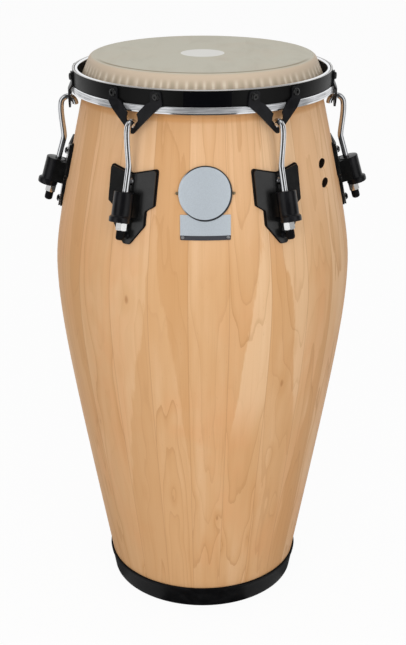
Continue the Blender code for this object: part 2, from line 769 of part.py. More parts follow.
def build_nuts():
    corner = NUT_FLATS / 2 / math.cos(math.radians(30))
    low = nut_top + rod_down * NUT_HEIGHT
    body = cone("tuning_nut", 6, corner, corner, in_plane(nut_top), in_plane(low), math.radians(30))
    hole = ROD_RADIUS + BORE_CLEARANCE
    bore = cone("nut_bore", HEAD_SIDES, hole, hole, in_plane(nut_top - rod_down * NUT_HEIGHT),
                in_plane(low + rod_down * NUT_HEIGHT))
    around("tuning_nut", combine("tuning_nut", body, bore, "DIFFERENCE"), "chrome", in_plane(nut_top))


# Caps and barrels are lofts through circles; a barrel's skirt leans out at its foot.

def loft(name, rings, segments):
    """A closed solid through circles, each given as centre, radius, in the lug's plane."""
    work = bmesh.new()
    rows = []
    for centre, radius in rings:
        row = []
        for k in range(segments):
            angle = 2 * math.pi * (k + 0.5) / segments
            point = in_plane(centre + rod_out * radius * math.cos(angle), radius * math.sin(angle))
            row.append(work.verts.new(point))
        rows.append(row)
    for upper, lower in zip(rows, rows[1:]):
        for k in range(segments):
            nxt = (k + 1) % segments
            work.faces.new((upper[k], upper[nxt], lower[nxt], lower[k]))
    work.faces.new(rows[0])
    work.faces.new(rows[-1])
    return mesh_from(work, name)


def build_caps():
    round_start = cap_foot - rod_down * CAP_ROUND
    rings = [(cap_top, CAP_RADIUS), (round_start, CAP_RADIUS), (cap_foot, CAP_RADIUS * HEAD_CROWN)]
    hole = ROD_RADIUS + BORE_CLEARANCE
    bore = cone("cap_bore", HEAD_SIDES, hole, hole, in_plane(cap_top - rod_down * CAP_LENGTH),
                in_plane(cap_foot - rod_down * CAP_END))
    body = combine("hook_cap", loft("hook_cap", rings, HEAD_SIDES), bore, "DIFFERENCE")
    around("hook_cap", body, "rubber", rod_anchor)


def build_barrels():
    skirt = barrel_top + rod_down * (BARREL_LENGTH - SKIRT_HEIGHT)
    foot = barrel_top + rod_down * BARREL_LENGTH
    shift = rod_out * SKIRT_SHIFT
    wide = BARREL_RADIUS + SKIRT_GROWTH
    rings = [
        (barrel_top, BARREL_RADIUS - BARREL_EDGE),
        (barrel_top + rod_down * BARREL_EDGE, BARREL_RADIUS),
        (skirt - rod_down * SKIRT_SHIFT, BARREL_RADIUS),
        (skirt + shift, wide),
        (foot + shift, wide - BARREL_EDGE),
    ]
    body = loft("lug_barrel", rings, BARREL_SIDES)
    hole = ROD_RADIUS + BORE_CLEARANCE
    bore = cone("barrel_bore", HEAD_SIDES, hole, hole, in_plane(rod_top - rod_down * BARREL_LENGTH / 4),
                in_plane(barrel_foot + rod_down * BARREL_LENGTH / 4))
    around("lug_barrel", combine("lug_barrel", body, bore, "DIFFERENCE"), "black")


# Side plates, gaskets and plate screws

def plate_outline(border):
    """The plate's outline on the shell, grown by a border."""
    half = [
        (0, notch_z + border),
        (WING_WIDTH + border, wing_top + border),
        (WING_WIDTH + border, wing_foot - border / 2),
        (STEM_WIDTH + border, stem_top - border / 2),
        (STEM_WIDTH + border, stem_foot),
        (TIP_WIDTH, plate_tip_z - border),
    ]
    outline = mirrored(half)
    radii = [0, WING_ROUND, STEM_ROUND, STEM_ROUND, TIP_ROUNDING, TIP_ROUNDING]
    radii += list(reversed(radii[1:]))
    return rounded(outline, radii)


def roof(name):
    """Space under the plate's two outer facets."""
    top = wing_top + 2 * PLATE_STAND
    low = plate_tip_z - 2 * PLATE_STAND
    side = 2 * WING_WIDTH
    fall = side * math.tan(math.radians(PLATE_FACET))
    work = bmesh.new()
    profile = [(-side, fall), (0, 0), (side, fall), (side, side), (-side, side)]
    corners = [work.verts.new((x, -ridge_radius(top) + y, top)) for x, y in profile]
    face = work.faces.new(corners)
    moved = bmesh.ops.extrude_face_region(work, geom=[face])["geom"]
    shift = Vector((0, ridge_radius(top) - ridge_radius(low), low - top))
    bmesh.ops.translate(work, vec=shift, verts=[v for v in moved if isinstance(v, bmesh.types.BMVert)])
    return mesh_from(work, name)


def screw_mesh(z, lift, overlap):
    """A pan-head screw square to the plate's ridge, with its head lifted off or let into the plate."""
    seat, outward = screw_line(z)
    head_top = in_plane(seat + outward * (lift + SCREW_HEAD_HEIGHT))
    head_foot = in_plane(seat + outward * (lift - overlap))
    head = cone("screw", HEAD_SIDES, SCREW_HEAD_RADIUS * HEAD_CROWN, SCREW_HEAD_RADIUS, head_top, head_foot)
    shank_top = in_plane(seat + outward * SCREW_HEAD_HEIGHT / 2)
    shank_foot = in_plane(seat - outward * (PLATE_STAND + SHELL_WALL))
    shank = cone("shank", SMALL_SIDES, SCREW_RADIUS, SCREW_RADIUS, shank_top, shank_foot)
    return combine("plate_screw", head, shank, "UNION")


def build_plates():
    near = shell_radius(wing_top) - SHELL_WALL
    far = ridge_foot_r + 2 * WING_WIDTH
    body = combine("side_plate", prism("plate", plate_outline(0), near, far), roof("roof"), "INTERSECT")
    saddle = build_saddle()
    body = combine("side_plate", body, saddle, "UNION")
    inner = layer("plate_bed", -2 * WING_WIDTH, gasket_out + GAP, plate_tip_z)
    body = combine("side_plate", body, inner, "DIFFERENCE")
    body = combine("side_plate", body, barrel_seat(), "DIFFERENCE")
    body = combine("side_plate", body, screw_cutter(lower_screw_z, SCREW_CLEARANCE), "DIFFERENCE")
    body = combine("side_plate", body, screw_mesh(upper_screw_z, 0, GAP), "UNION")
    around("side_plate", body, "black")


def build_saddle():
    """Block that cradles the barrel, square to the rod."""
    start = barrel_top + rod_down * SADDLE_START
    low = start + rod_down * SADDLE_LENGTH
    depth = BARREL_RADIUS - SADDLE_DEPTH + 3 * PLATE_STAND
    middle = (start + low) / 2 - rod_out * (SADDLE_DEPTH + depth / 2)
    work = bmesh.new()
    bmesh.ops.create_cube(work, size=1.0)
    size = Matrix.Diagonal((2 * SADDLE_WIDTH, depth, SADDLE_LENGTH, 1))
    place = Matrix.Translation(in_plane(middle)) @ Matrix.Rotation(-tilt, 4, "X") @ size
    bmesh.ops.transform(work, verts=work.verts, matrix=place)
    return mesh_from(work, "saddle")


def barrel_seat():
    radius = BARREL_RADIUS + GAP / math.cos(math.pi / BARREL_SIDES)
    start = barrel_top - rod_down * GAP
    end = barrel_top + rod_down * BARREL_LENGTH * 2
    return cone("barrel_seat", BARREL_SIDES, radius, radius, in_plane(start), in_plane(end),
                math.pi / BARREL_SIDES)


def build_gaskets():
    near = shell_radius(wing_top) - SHELL_WALL
    far = ridge_foot_r + 2 * WING_WIDTH
    sheet = layer("gasket", GAP, gasket_out, plate_tip_z)
    body = combine("gasket", sheet, prism("gasket_outline", plate_outline(GASKET_BORDER), near, far), "INTERSECT")
    holes = [screw_cutter(z, SCREW_CLEARANCE) for z in (upper_screw_z, lower_screw_z)]
    around("plate_gasket", combine("gasket", body, joined("gasket_holes", holes), "DIFFERENCE"), "rubber")


def build_screws():
    around("plate_screw", screw_mesh(lower_screw_z, GAP, 0), "black")


# Badge: a disc over a rectangular label, both bent to the shell, and four nails

def build_badge():
    near = shell_radius(badge_z) - BADGE_RADIUS
    far = shell_radius(badge_z) + 2 * BADGE_RADIUS
    disc_in = 2 * GAP + BADGE_THICKNESS
    sheet = layer("badge_disc", disc_in, disc_in + BADGE_THICKNESS, label_bottom)
    outline = circle(0, badge_z, BADGE_RADIUS, DISC_SIDES)
    disc = combine("badge_disc", sheet, prism("disc_outline", outline, near, far), "INTERSECT")
    finish("badge_disc", disc, "badge")
    sheet = layer("badge_plate", GAP, GAP + BADGE_THICKNESS, label_bottom)
    label = [(-LABEL_WIDTH, label_bottom), (LABEL_WIDTH, label_bottom),
             (LABEL_WIDTH, label_top), (-LABEL_WIDTH, label_top)]
    body = combine("badge_plate", sheet, prism("label_outline", label, near, far), "INTERSECT")
    holes = [nail_cutter(azimuth, z) for azimuth, z, _ in nail_places()[2:]]
    finish("badge_plate", combine("badge_plate", body, joined("label_holes", holes), "DIFFERENCE"), "badge")


def build_nails():
    for i, (azimuth, z, seat) in enumerate(nail_places()):
        base = shell_radius(z) + seat
        head = cone("nail", HEAD_SIDES, NAIL_HEAD_RADIUS * HEAD_CROWN, NAIL_HEAD_RADIUS,
                    (0, -base - NAIL_HEAD_HEIGHT, z), (0, -base, z))
        shank = cone("nail_shank", SMALL_SIDES, NAIL_RADIUS, NAIL_RADIUS,
                     (0, -base - NAIL_HEAD_HEIGHT / 2, z), (0, -base + NAIL_LENGTH, z))
        nail = combine("badge_nail", head, shank, "UNION")
        finish(f"badge_nail_{i + 1}", turn_round(nail, azimuth), "nail")


clear_scene()
materials = {name: make_material(name, *values) for name, values in FINISHES.items()}
build_shell()
build_foot_ring()
build_skin()
build_rim()
build_band()
build_flesh_hoop()
build_brackets()
build_hooks()
build_nuts()
build_caps()
build_barrels()
build_plates()
build_gaskets()
build_screws()
build_badge()
build_nails()
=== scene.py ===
# Looks of a natural wood conga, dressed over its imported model.
# Metres, +Z up, front towards -Y. An azimuth of 0 is the front and grows towards +X.
from math import asin, atan, atan2, cos, degrees, hypot, pi, radians, sin, sqrt, tan

import bmesh
import bpy
from mathutils import Matrix, Vector


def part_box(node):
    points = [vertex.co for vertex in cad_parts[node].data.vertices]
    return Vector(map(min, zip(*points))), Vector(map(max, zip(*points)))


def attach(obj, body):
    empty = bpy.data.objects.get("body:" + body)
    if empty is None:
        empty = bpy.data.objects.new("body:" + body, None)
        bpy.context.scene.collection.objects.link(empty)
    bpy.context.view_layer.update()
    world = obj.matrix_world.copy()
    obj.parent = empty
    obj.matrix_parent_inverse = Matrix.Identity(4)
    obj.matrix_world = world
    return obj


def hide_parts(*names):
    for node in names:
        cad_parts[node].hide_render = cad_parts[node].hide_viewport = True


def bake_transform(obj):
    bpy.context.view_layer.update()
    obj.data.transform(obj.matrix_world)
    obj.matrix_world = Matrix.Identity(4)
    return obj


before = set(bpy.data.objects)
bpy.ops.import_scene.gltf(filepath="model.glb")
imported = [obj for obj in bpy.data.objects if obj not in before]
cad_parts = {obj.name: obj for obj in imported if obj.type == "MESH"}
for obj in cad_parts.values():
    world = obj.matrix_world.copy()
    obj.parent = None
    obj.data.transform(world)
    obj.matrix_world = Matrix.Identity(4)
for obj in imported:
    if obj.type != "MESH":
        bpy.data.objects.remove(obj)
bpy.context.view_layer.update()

mm = 0.001
gap = 0.3 * mm                      # running gap between neighbouring pieces
lugAzimuths = [-30.0 + 60.0 * i for i in range(6)]

print("conga: frame loaded")


# Points and outlines

def spaced(start, end, count):
    # evenly from start to end, both included
    return [start + (end - start) * k / count for k in range(count + 1)]


def polar(radius, azimuth, z):
    angle = radians(azimuth)
    return Vector((radius * sin(angle), -radius * cos(angle), z))


def inPlane(point, across=0.0):
    # a (radius, height) point of the front lug's plane
    return Vector((across, -point[0], point[1]))


def arc(centre, radius, start, end, steps):
    # angles in degrees from straight up, clockwise
    turns = [radians(angle) for angle in spaced(start, end, steps)]
    return [(centre[0] + radius * sin(turn), centre[1] + radius * cos(turn)) for turn in turns]


def roundCorners(corners, steps=6):
    # each corner is its point and the radius of the arc that rounds it
    points = []
    for i, (x, z, radius) in enumerate(corners):
        corner = Vector((x, z))
        if radius == 0:
            points.append(corner)
            continue
        before = (Vector(corners[i - 1][:2]) - corner).normalized()
        after = (Vector(corners[(i + 1) % len(corners)][:2]) - corner).normalized()
        half = before.angle(after) / 2
        centre = corner + (before + after).normalized() * radius / sin(half)
        first = corner + before * radius / tan(half) - centre
        last = corner + after * radius / tan(half) - centre
        start = atan2(first.y, first.x)
        sweep = (atan2(last.y, last.x) - start + pi) % (2 * pi) - pi
        for k in range(steps + 1):
            angle = start + sweep * k / steps
            points.append(centre + radius * Vector((cos(angle), sin(angle))))
    return points


def mirrored(corners):
    return [(-x, z, radius) for x, z, radius in reversed(corners)]


def smoothStep(value, low, high):
    t = min(1.0, max(0.0, (value - low) / (high - low)))
    return t * t * (3 - 2 * t)


# Meshes

def creased(mesh, angle):
    # shaded smooth, except where faces meet at more than the angle
    mesh.shade_smooth()
    mesh.set_sharp_from_angle(angle=radians(angle))
    return mesh


def meshFrom(work):
    bmesh.ops.remove_doubles(work, verts=work.verts, dist=0.002 * mm)
    bmesh.ops.recalc_face_normals(work, faces=work.faces)
    mesh = bpy.data.meshes.new("piece")
    work.to_mesh(mesh)
    work.free()
    return creased(mesh, 35)


def loft(rows, wrap=False, ring=True):
    # faces between rows of points; rows are loops unless ring is off, and the ends are
    # capped unless the rows wrap round
    work = bmesh.new()
    lines = [[work.verts.new(point) for point in row] for row in rows]
    pairs = list(zip(lines, lines[1:]))
    if wrap:
        pairs.append((lines[-1], lines[0]))
    count = len(lines[0])
    for first, second in pairs:
        for k in range(count if ring else count - 1):
            n = (k + 1) % count
            work.faces.new((first[k], first[n], second[n], second[k]))
    if ring and not wrap:
        work.faces.new(lines[0])
        work.faces.new(lines[-1])
    return meshFrom(work)


def revolve(profile, steps=240, shape=None):
    # a (radius, height) profile turned round Z; shape may move each point
    rows = []
    for azimuth in spaced(0.0, 360.0, steps)[:-1]:
        row = [shape(point, azimuth) if shape else point for point in profile]
        rows.append([polar(r, azimuth, z) for r, z in row])
    fromAxisToAxis = profile[0][0] == 0 and profile[-1][0] == 0
    return loft(rows, True, not fromAxisToAxis)


def sector(profile, half, steps):
    # a closed profile turned a few degrees each side of the front
    return loft([[polar(r, azimuth, z) for r, z in profile] for azimuth in spaced(-half, half, steps)])


def prism(outline, near, far):
    # an outline seen from the front, as a block between two radii
    return loft([[(x, -radius, z) for x, z in outline] for radius in (near, far)])


def stood(mesh, origin, direction):
    # a piece turned about Z, set on a point with its top towards a direction
    aim = Vector(direction).to_track_quat("Z", "Y").to_matrix().to_4x4()
    mesh.transform(Matrix.Translation(origin) @ aim)
    return mesh


def stoodRound(mesh, radius, azimuth, z):
    return stood(mesh, polar(radius, azimuth, z), polar(1.0, azimuth, 0.0))


def joinMeshes(*meshes):
    work = bmesh.new()
    for mesh in meshes:
        work.from_mesh(mesh)
    return meshFrom(work)


def newObject(name, data):
    item = bpy.data.objects.new(name, data)
    bpy.context.scene.collection.objects.link(item)
    return item


def worked(mesh, *steps):
    # the mesh after modifiers, each given as its type and its settings
    holder = newObject("worked", mesh)
    for kind, settings in steps:
        modifier = holder.modifiers.new(kind, kind)
        for key, value in settings.items():
            setattr(modifier, key, value)
    bpy.context.view_layer.update()
    graph = bpy.context.evaluated_depsgraph_get()
    result = bpy.data.meshes.new_from_object(holder.evaluated_get(graph))
    bpy.data.objects.remove(holder)
    return result


def combine(first, second, operation="DIFFERENCE"):
    tool = newObject("tool", second)
    result = worked(first, ("BOOLEAN", {"operation": operation, "object": tool}))
    bpy.data.objects.remove(tool)
    return result


def softened(mesh, width, segments, angle=40, material=-1):
    # rounded edges, with the flat faces kept flat in the shading
    mesh.shade_smooth()
    bevel = {"width": width, "segments": segments, "limit_method": "ANGLE",
             "angle_limit": radians(angle), "harden_normals": False, "material": material}
    return worked(mesh, ("BEVEL", bevel), ("WEIGHTED_NORMAL", {"weight": 80}))


# Pieces on their bodies

def coated(mesh, *finishes):
    for finish in finishes:
        mesh.materials.append(finish.material)
    return mesh


def addPiece(name, mesh, body, nodes=(), azimuth=0.0):
    piece = newObject(name, mesh)
    mesh.name = name
    piece.rotation_euler.z = radians(azimuth)
    if body:
        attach(piece, body)
    if nodes:
        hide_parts(*nodes)
    return piece


def atLugs(name, mesh, body, node=None):
    # one copy for each lug; # in a body's or node's name stands for the lug's number
    for i, azimuth in enumerate(lugAzimuths):
        number = str(i + 1)
        nodes = [node.replace("#", number)] if node else []
        addPiece(f"{name}_{number}", mesh, body.replace("#", number), nodes, azimuth)
    mesh.name = name


# Shader arithmetic: a wire is one socket, and each operation on it adds a Math node

class Wire:
    def __init__(self, sheet, socket):
        self.sheet = sheet
        self.socket = socket

    def __add__(self, other):
        return self.sheet.maths("ADD", self, other)

    def __radd__(self, other):
        return self.sheet.maths("ADD", other, self)

    def __sub__(self, other):
        return self.sheet.maths("SUBTRACT", self, other)

    def __rsub__(self, other):
        return self.sheet.maths("SUBTRACT", other, self)

    def __mul__(self, other):
        return self.sheet.maths("MULTIPLY", self, other)

    def __rmul__(self, other):
        return self.sheet.maths("MULTIPLY", other, self)


class NodeSheet:
    # makes and links the nodes of one material or world
    def __init__(self, tree):
        self.tree = tree

    def node(self, kind, settings=None, inputs=None, output=0):
        node = self.tree.nodes.new("ShaderNode" + kind)
        for key, value in (settings or {}).items():
            setattr(node, key, value)
        for key, value in (inputs or {}).items():
            self.feed(node.inputs[key], value)
        return Wire(self, node.outputs[output]) if node.outputs else None

    def outputs(self, kind, inputs=None):
        # all output sockets of one node, by name
        wire = self.node(kind, None, inputs)
        return {socket.name: Wire(self, socket) for socket in wire.socket.node.outputs}

    def feed(self, socket, value):
        if isinstance(value, Wire):
            self.tree.links.new(value.socket, socket)
        elif socket.type == "RGBA":
            socket.default_value = (*value, 1.0)
        else:
            socket.default_value = value

    def maths(self, operation, *values):
        return self.node("Math", {"operation": operation}, dict(enumerate(values)))

    def place(self, kind="Object"):
        # coordinates, as the vector and its three numbers
        vector = self.outputs("TexCoord")[kind]
        split = self.outputs("SeparateXYZ", {0: vector})
        return vector, split["X"], split["Y"], split["Z"]

    def azimuth(self, x, y):
        # 0 at the front, in radians
        return self.maths("ARCTAN2", x, 0.0 - y)

    def noise(self, vector, scale, detail=2.0, roughness=0.5, distortion=0.0):
        return self.node("TexNoise", {"noise_dimensions": "3D"},
                         {"Vector": vector, "Scale": scale, "Detail": detail,
                          "Roughness": roughness, "Distortion": distortion})

    def streaks(self, x, y, z, detail=2.0, roughness=0.5, distortion=0.0):
        # noise over numbers that are stretched beforehand
        vector = self.node("CombineXYZ", None, {0: x, 1: y, 2: z})
        return self.noise(vector, 1.0, detail, roughness, distortion)

    def random(self, value):
        # a number from 0 to 1 that belongs to the value
        return self.node("TexWhiteNoise", {"noise_dimensions": "1D"}, {"W": value})

    def step(self, value, low, high, start=0.0, end=1.0):
        return self.node("MapRange", {"interpolation_type": "SMOOTHSTEP"},
                         {"Value": value, "From Min": low, "From Max": high, "To Min": start, "To Max": end})

    def mix(self, factor, first, second):
        settings = {"data_type": "RGBA", "blend_type": "MIX", "clamp_factor": True}
        return self.node("Mix", settings, {0: factor, 6: first, 7: second}, 2)


class Finish(NodeSheet):
    # one procedural material on a Principled shader
    def __init__(self, name, **settings):
        self.material = bpy.data.materials.new(name)
        self.material.use_nodes = True
        super().__init__(self.material.node_tree)
        self.shader = self.tree.nodes["Principled BSDF"]
        for key, value in settings.items():
            self.put(key.replace("_", " "), value)

    def put(self, name, value):
        self.feed(self.shader.inputs[name], value)

    def bump(self, height, distance):
        inputs = {"Strength": 1.0, "Distance": distance, "Height": height}
        self.put("Normal", self.node("Bump", None, inputs))


# Wood: wide staves, each with its own tone and its own tall arches of growth rings

woodLook = {
    "staves": 23,
    "joint": -6.3,              # azimuth of the joint beside the badge, in degrees
    "width": 54.6 * mm,
    "seed": 0.37,
    "plain": (0.655, 0.385, 0.190),
    "light": (0.790, 0.545, 0.335),
    "top": (0.850, 0.560, 0.350),
    "blush": (0.690, 0.355, 0.165),
    "deep": (0.580, 0.310, 0.130),
    "line": (0.400, 0.190, 0.075),
    # shade: the amber of the painted shade just under the rim
    "shade": (0.560, 0.270, 0.090),
    "rings": 125.0,             # growth rings in a metre of the tree's radius
    # two-coloured staves: number, height where the slanting edge is in the middle, its slope
    "sapStaves": ((11, 0.44, 2.0), (12, 0.47, -3.0), (3, 0.30, -1.6), (17, 0.50, 1.7)),
    "darkStaves": ((9, 0.46, -2.6), (8, 0.36, 3.0), (13, 0.30, 2.2), (6, 0.5, -2.0), (20, 0.4, 2.4)),
    "knots": ((-29.6, 0.486, 7.0), (31.7, 0.364, 6.0), (6.0, 0.159, 5.0), (98.0, 0.55, 6.0),
              (-141.0, 0.30, 7.0), (170.0, 0.47, 5.0)),    # azimuth, height, size in mm
    "roughness": 0.46,
}


def staveLines(wood, look, azimuth):
    # how far across its stave a place is, from 0 to 1, and the stave's number
    angle = azimuth - radians(look["joint"])
    wobble = wood.maths("SINE", angle * 5.0) * 0.05
    turn = angle * (look["staves"] / (2 * pi)) + 10.0 + wobble
    whole = wood.maths("FLOOR", turn)
    return turn - whole, wood.maths("FLOORED_MODULO", whole, float(look["staves"]))


def woodKnots(wood, look, azimuth, side, z, shift, jag):
    # small knots here and there and the named ones, each with a swirl in the grain round it
    stretched = wood.node("CombineXYZ", None, {0: side * 24.0, 1: z * 9.0, 2: shift})
    cells = wood.node("TexVoronoi", {"voronoi_dimensions": "3D", "feature": "F1"},
                      {"Vector": stretched, "Scale": 1.0})
    knot = wood.step(cells, 0.07, 0.02) * 0.6
    swirl = wood.step(cells, 0.35, 0.0)
    for place, height, size in look["knots"]:
        aside = (azimuth - radians(place)) * (0.19 / (size * mm))
        above = (z - height) * (0.5 / (size * mm))
        near = wood.maths("SQRT", aside * aside + above * above) + jag * 0.9
        knot = wood.maths("MAXIMUM", knot, wood.step(near, 0.55, 0.1))
        swirl = wood.maths("MAXIMUM", swirl, wood.step(near, 3.2, 0.2))
    return knot, swirl


def growthRings(wood, look, index, side, depth, warp):
    # the stave cuts a cone of rings, which draws tall arches: soft late wood and a thin dark edge
    offset = side + (wood.random(index + 71.0) - 0.5) * 0.034
    rings = (wood.maths("SQRT", offset * offset + depth * depth) + warp) * look["rings"]
    ringIndex = wood.maths("FLOOR", rings)
    part = rings - ringIndex                    # 0 to 1 over a ring
    strong = wood.random(ringIndex + index * 3.1)
    late = wood.step(part, 0.35, 0.97) * wood.step(part, 1.0, 0.98)
    edge = wood.step(part, 0.84, 0.95) * wood.step(part, 1.0, 0.985)
    return late * strong, edge * strong


def makeWood(name, look, lacquered=True):
    wood = Finish(name, IOR=1.42, Specular_IOR_Level=0.06)
    maths, step, streaks, random = wood.maths, wood.step, wood.streaks, wood.random
    x, y, z = wood.place()[1:]
    azimuth = wood.azimuth(x, y)
    across, number = staveLines(wood, look, azimuth)
    index = number + look["seed"]
    tone = random(index)
    hue = random(index + 17.0)
    shift = random(index + 41.0) * 9.0
    side = (across - 0.5) * look["width"]
    sway = streaks(side * 26.0, z * 4.2, shift) - 0.5
    jag = streaks(side * 160.0, z * 24.0, shift, 3.0, 0.6) - 0.5
    slope = (random(index + 5.0) - 0.5) * 0.17
    depth = slope * (z - 0.42) + hue * 0.020 + 0.024 + sway * 0.034
    knot, swirl = woodKnots(wood, look, azimuth, side, z, shift, jag)
    late, edge = growthRings(wood, look, index, side, depth, jag * 0.0016 + swirl * 0.006)

    streak = streaks(side * 95.0, z * 2.0, shift, 3.0, 0.55, 0.3)
    fibre = streaks(side * 850.0, z * 13.0, shift, 3.0, 0.6)
    cloud = streaks(side * 22.0, z * 4.0, shift + 3.0, 3.0, 0.55)
    pores = streaks(side * 1500.0, z * 150.0, shift, 1.0)
    fleck = step(pores, 0.70, 0.80) * step(cloud, 0.42, 0.62)
    blush = streaks(x * 11.0, y * 11.0, z * 4.5, 4.0, 0.6, 0.5)
    seam = maths("MINIMUM", across, 1.0 - across)
    drift = sway * 0.5 - jag * 0.25

    def halves(staves, low, high):
        # the part of these staves on one side of their slanting edge
        total = 0.0
        for stave, height, slant in staves:
            inside = maths("COMPARE", number, float(stave), 0.5)
            total = inside * step(across - 0.5 - (z - height) * slant + drift, low, high) + total
        return total

    sap = halves(look["sapStaves"], -0.03, 0.02) * step(z, 0.27, 0.36)
    dark = halves(look["darkStaves"], -0.04, 0.03)
    layers = [
        (step(tone, 0.45, 1.0) * 0.7, "light"),
        (step(hue, 0.45, 1.0) * 0.3, "deep"),
        (step(cloud, 0.48, 0.78) * 0.42, "light"),
        (step(cloud, 0.5, 0.25) * 0.4, "deep"),
        (step(blush, 0.47, 0.70) * 0.5, "blush"),
        (step(z, 0.50, 0.62) * 0.34, "top"),
        (sap * 0.6, "light"),
        (dark * 0.55, "deep"),
        (late * (1.0 - sap * 0.8) * 0.5, "deep"),
        (edge * 0.24, "line"),
        (step(streak, 0.46, 0.75) * 0.22, "deep"),
        (step(fibre, 0.5, 0.8) * 0.14, "line"),
        (fleck * 0.35, "line"),
        (step(swirl, 0.2, 1.0) * 0.25, "deep"),
        (knot * 0.7, "line"),
        (step(seam, 0.014, 0.003) * 0.38, "line"),
    ]
    if lacquered:
        # painted shade: a darker amber band just under the rim, on the lacquered outside only
        layers.append((step(z, 0.7035, 0.7085) * 0.55, "shade"))
    base = look["plain"]
    for factor, colour in layers:
        base = wood.mix(factor, base, look[colour])
    wood.put("Base Color", base)
    roughness = look["roughness"] if lacquered else look["roughness"] + 0.3
    wood.put("Roughness", fibre * 0.12 + (roughness - 0.06))
    wood.bump(fibre * 0.5 - fleck * 0.6, 0.04 * mm if lacquered else 0.2 * mm)
    return wood


woodFinish = makeWood("stave wood", woodLook)
# the inside: unlacquered wood, its colour darkened as painted shade
rawShadedLook = dict(woodLook, plain=(0.30, 0.17, 0.08), light=(0.40, 0.24, 0.13))
rawShadedWoodFinish = makeWood("raw wood in painted shade", rawShadedLook, False)


def makeMetal(name, colour, roughness):
    metal = Finish(name, Metallic=1.0)
    vector = metal.place()[0]
    cloud = metal.noise(vector, 60.0, 3.0, 0.6)
    fine = metal.noise(vector, 840.0, 2.0, 0.6)
    dull = tuple(part * 0.86 for part in colour)
    metal.put("Base Color", metal.mix(metal.step(cloud, 0.35, 0.75), colour, dull))
    metal.put("Roughness", cloud * 0.05 + fine * 0.03 + roughness)
    return metal


def makeBlack(name, colour, roughness, spread, grain, scale, gloss, coat=0.0):
    # spread is how far the roughness varies, grain the depth of the bump and scale its fineness
    black = Finish(name, IOR=1.5, Specular_IOR_Level=gloss, Coat_Roughness=0.22, Coat_Weight=coat)
    vector = black.place()[0]
    cloud = black.noise(vector, scale * 0.05, 3.0, 0.6)
    pale = tuple(part * 1.7 + 0.003 for part in colour)
    black.put("Base Color", black.mix(black.step(cloud, 0.35, 0.8), colour, pale))
    black.put("Roughness", cloud * spread + (roughness - spread / 2))
    black.bump(black.noise(vector, scale), grain)
    return black


chromeFinish = makeMetal("chrome", (0.83, 0.84, 0.86), 0.05)
zincFinish = makeMetal("bright zinc", (0.88, 0.88, 0.87), 0.14)
nailFinish = makeMetal("dull nail", (0.66, 0.67, 0.69), 0.36)
nickelFinish = makeMetal("dark nickel", (0.34, 0.34, 0.35), 0.2)
brassFinish = makeMetal("dull brass", (0.46, 0.36, 0.22), 0.3)
steelFinish = makeBlack("satin black steel", (0.004, 0.004, 0.005), 0.36, 0.10, 0.02 * mm, 1800.0, 0.2)
castFinish = makeBlack("gloss black cast", (0.004, 0.004, 0.005), 0.30, 0.08, 0.015 * mm, 900.0, 0.24)
boltFinish = makeBlack("bolt black", (0.004, 0.004, 0.004), 0.12, 0.06, 0.015 * mm, 900.0, 0.5)
plateFinish = makeBlack("plate black", (0.005, 0.005, 0.005), 0.30, 0.08, 0.02 * mm, 1400.0, 0.1, 0.9)
plateEdgeFinish = makeBlack("plate edge black", (0.003, 0.003, 0.003), 0.5, 0.08, 0.02 * mm, 1400.0, 0.1)
rubberFinish = makeBlack("black rubber", (0.003, 0.003, 0.0035), 0.62, 0.15, 0.05 * mm, 1500.0, 0.12)
# painted shade: the near black on the ports' walls
portShadeFinish = makeBlack("port painted shade", (0.016, 0.010, 0.007), 0.7, 0.1, 0.05 * mm, 700.0, 0.1)

print("conga: finishes made")


# Shell

shell = {
    "bellyRadius": 199.8 * mm,
    "bellyHeight": 481 * mm,
    "topSlope": 0.2335,
    "topCurve": 13 * mm,
    "footSlope": 0.178,
    "footCurve": 17.5 * mm,
    "wall": 13 * mm,
    "edgeRound": 6.5 * mm,
    "edgeInner": 3 * mm,
    "footHeight": 4.3 * mm,
    "rows": 64,
    "portRadius": 6.3 * mm,
    "portSpread": 1.5,              # the holes are drilled at a slant, so their mouths are wide
    "portChamfer": 0.7 * mm,
    "portHeights": (612.5 * mm, 637.1 * mm),
    "portAzimuth": 60.0,
}
skinThickness = 1.2 * mm
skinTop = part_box("head_skin")[1].z


def shellRadius(z):
    above = z > shell["bellyHeight"]
    slope = shell["topSlope"] if above else shell["footSlope"]
    curve = shell["topCurve"] if above else shell["footCurve"]
    return shell["bellyRadius"] - hypot(slope * (z - shell["bellyHeight"]), curve) + curve


sideAngle = pi / 2 - atan(shell["topSlope"])
edgeZ = skinTop - skinThickness - gap - shell["edgeRound"]
touchZ = edgeZ + shell["edgeRound"] * cos(sideAngle)
edgeRadius = shellRadius(touchZ) - shell["edgeRound"] * sin(sideAngle)


def cutPorts(mesh):
    wall = shell["wall"]
    chamfer = shell["portChamfer"]
    radius = shell["portRadius"]
    profile = [(0, wall), (radius + chamfer + wall, wall), (radius, -chamfer), (radius, -2 * wall),
               (0, -2 * wall)]
    cutters = []
    for z in shell["portHeights"]:
        cutter = revolve(profile, 48)
        cutter.transform(Matrix.Diagonal((shell["portSpread"], 1.0, 1.0, 1.0)))
        cutters.append(stoodRound(cutter, shellRadius(z), shell["portAzimuth"], z))
    return combine(mesh, joinMeshes(*cutters))


def finishShell(mesh):
    # lacquered outside; raw inside, painted darker as shade; painted shade on the ports' walls
    coated(mesh, woodFinish, rawShadedWoodFinish, portShadeFinish)
    aim = polar(1.0, shell["portAzimuth"], 0.0)
    sideways = aim.cross(Vector((0, 0, 1))) / shell["portSpread"]
    for face in mesh.polygons:
        centre = face.center
        deep = hypot(centre.x, centre.y) < shellRadius(centre.z) - 1.2 * mm
        face.material_index = 1 if deep and centre.z < edgeZ else 0
        for z in shell["portHeights"]:
            distance = hypot(centre.dot(sideways), centre.z - z)
            if distance < shell["portRadius"] + 0.05 * mm and centre.dot(aim) > 0 and deep:
                face.material_index = 2


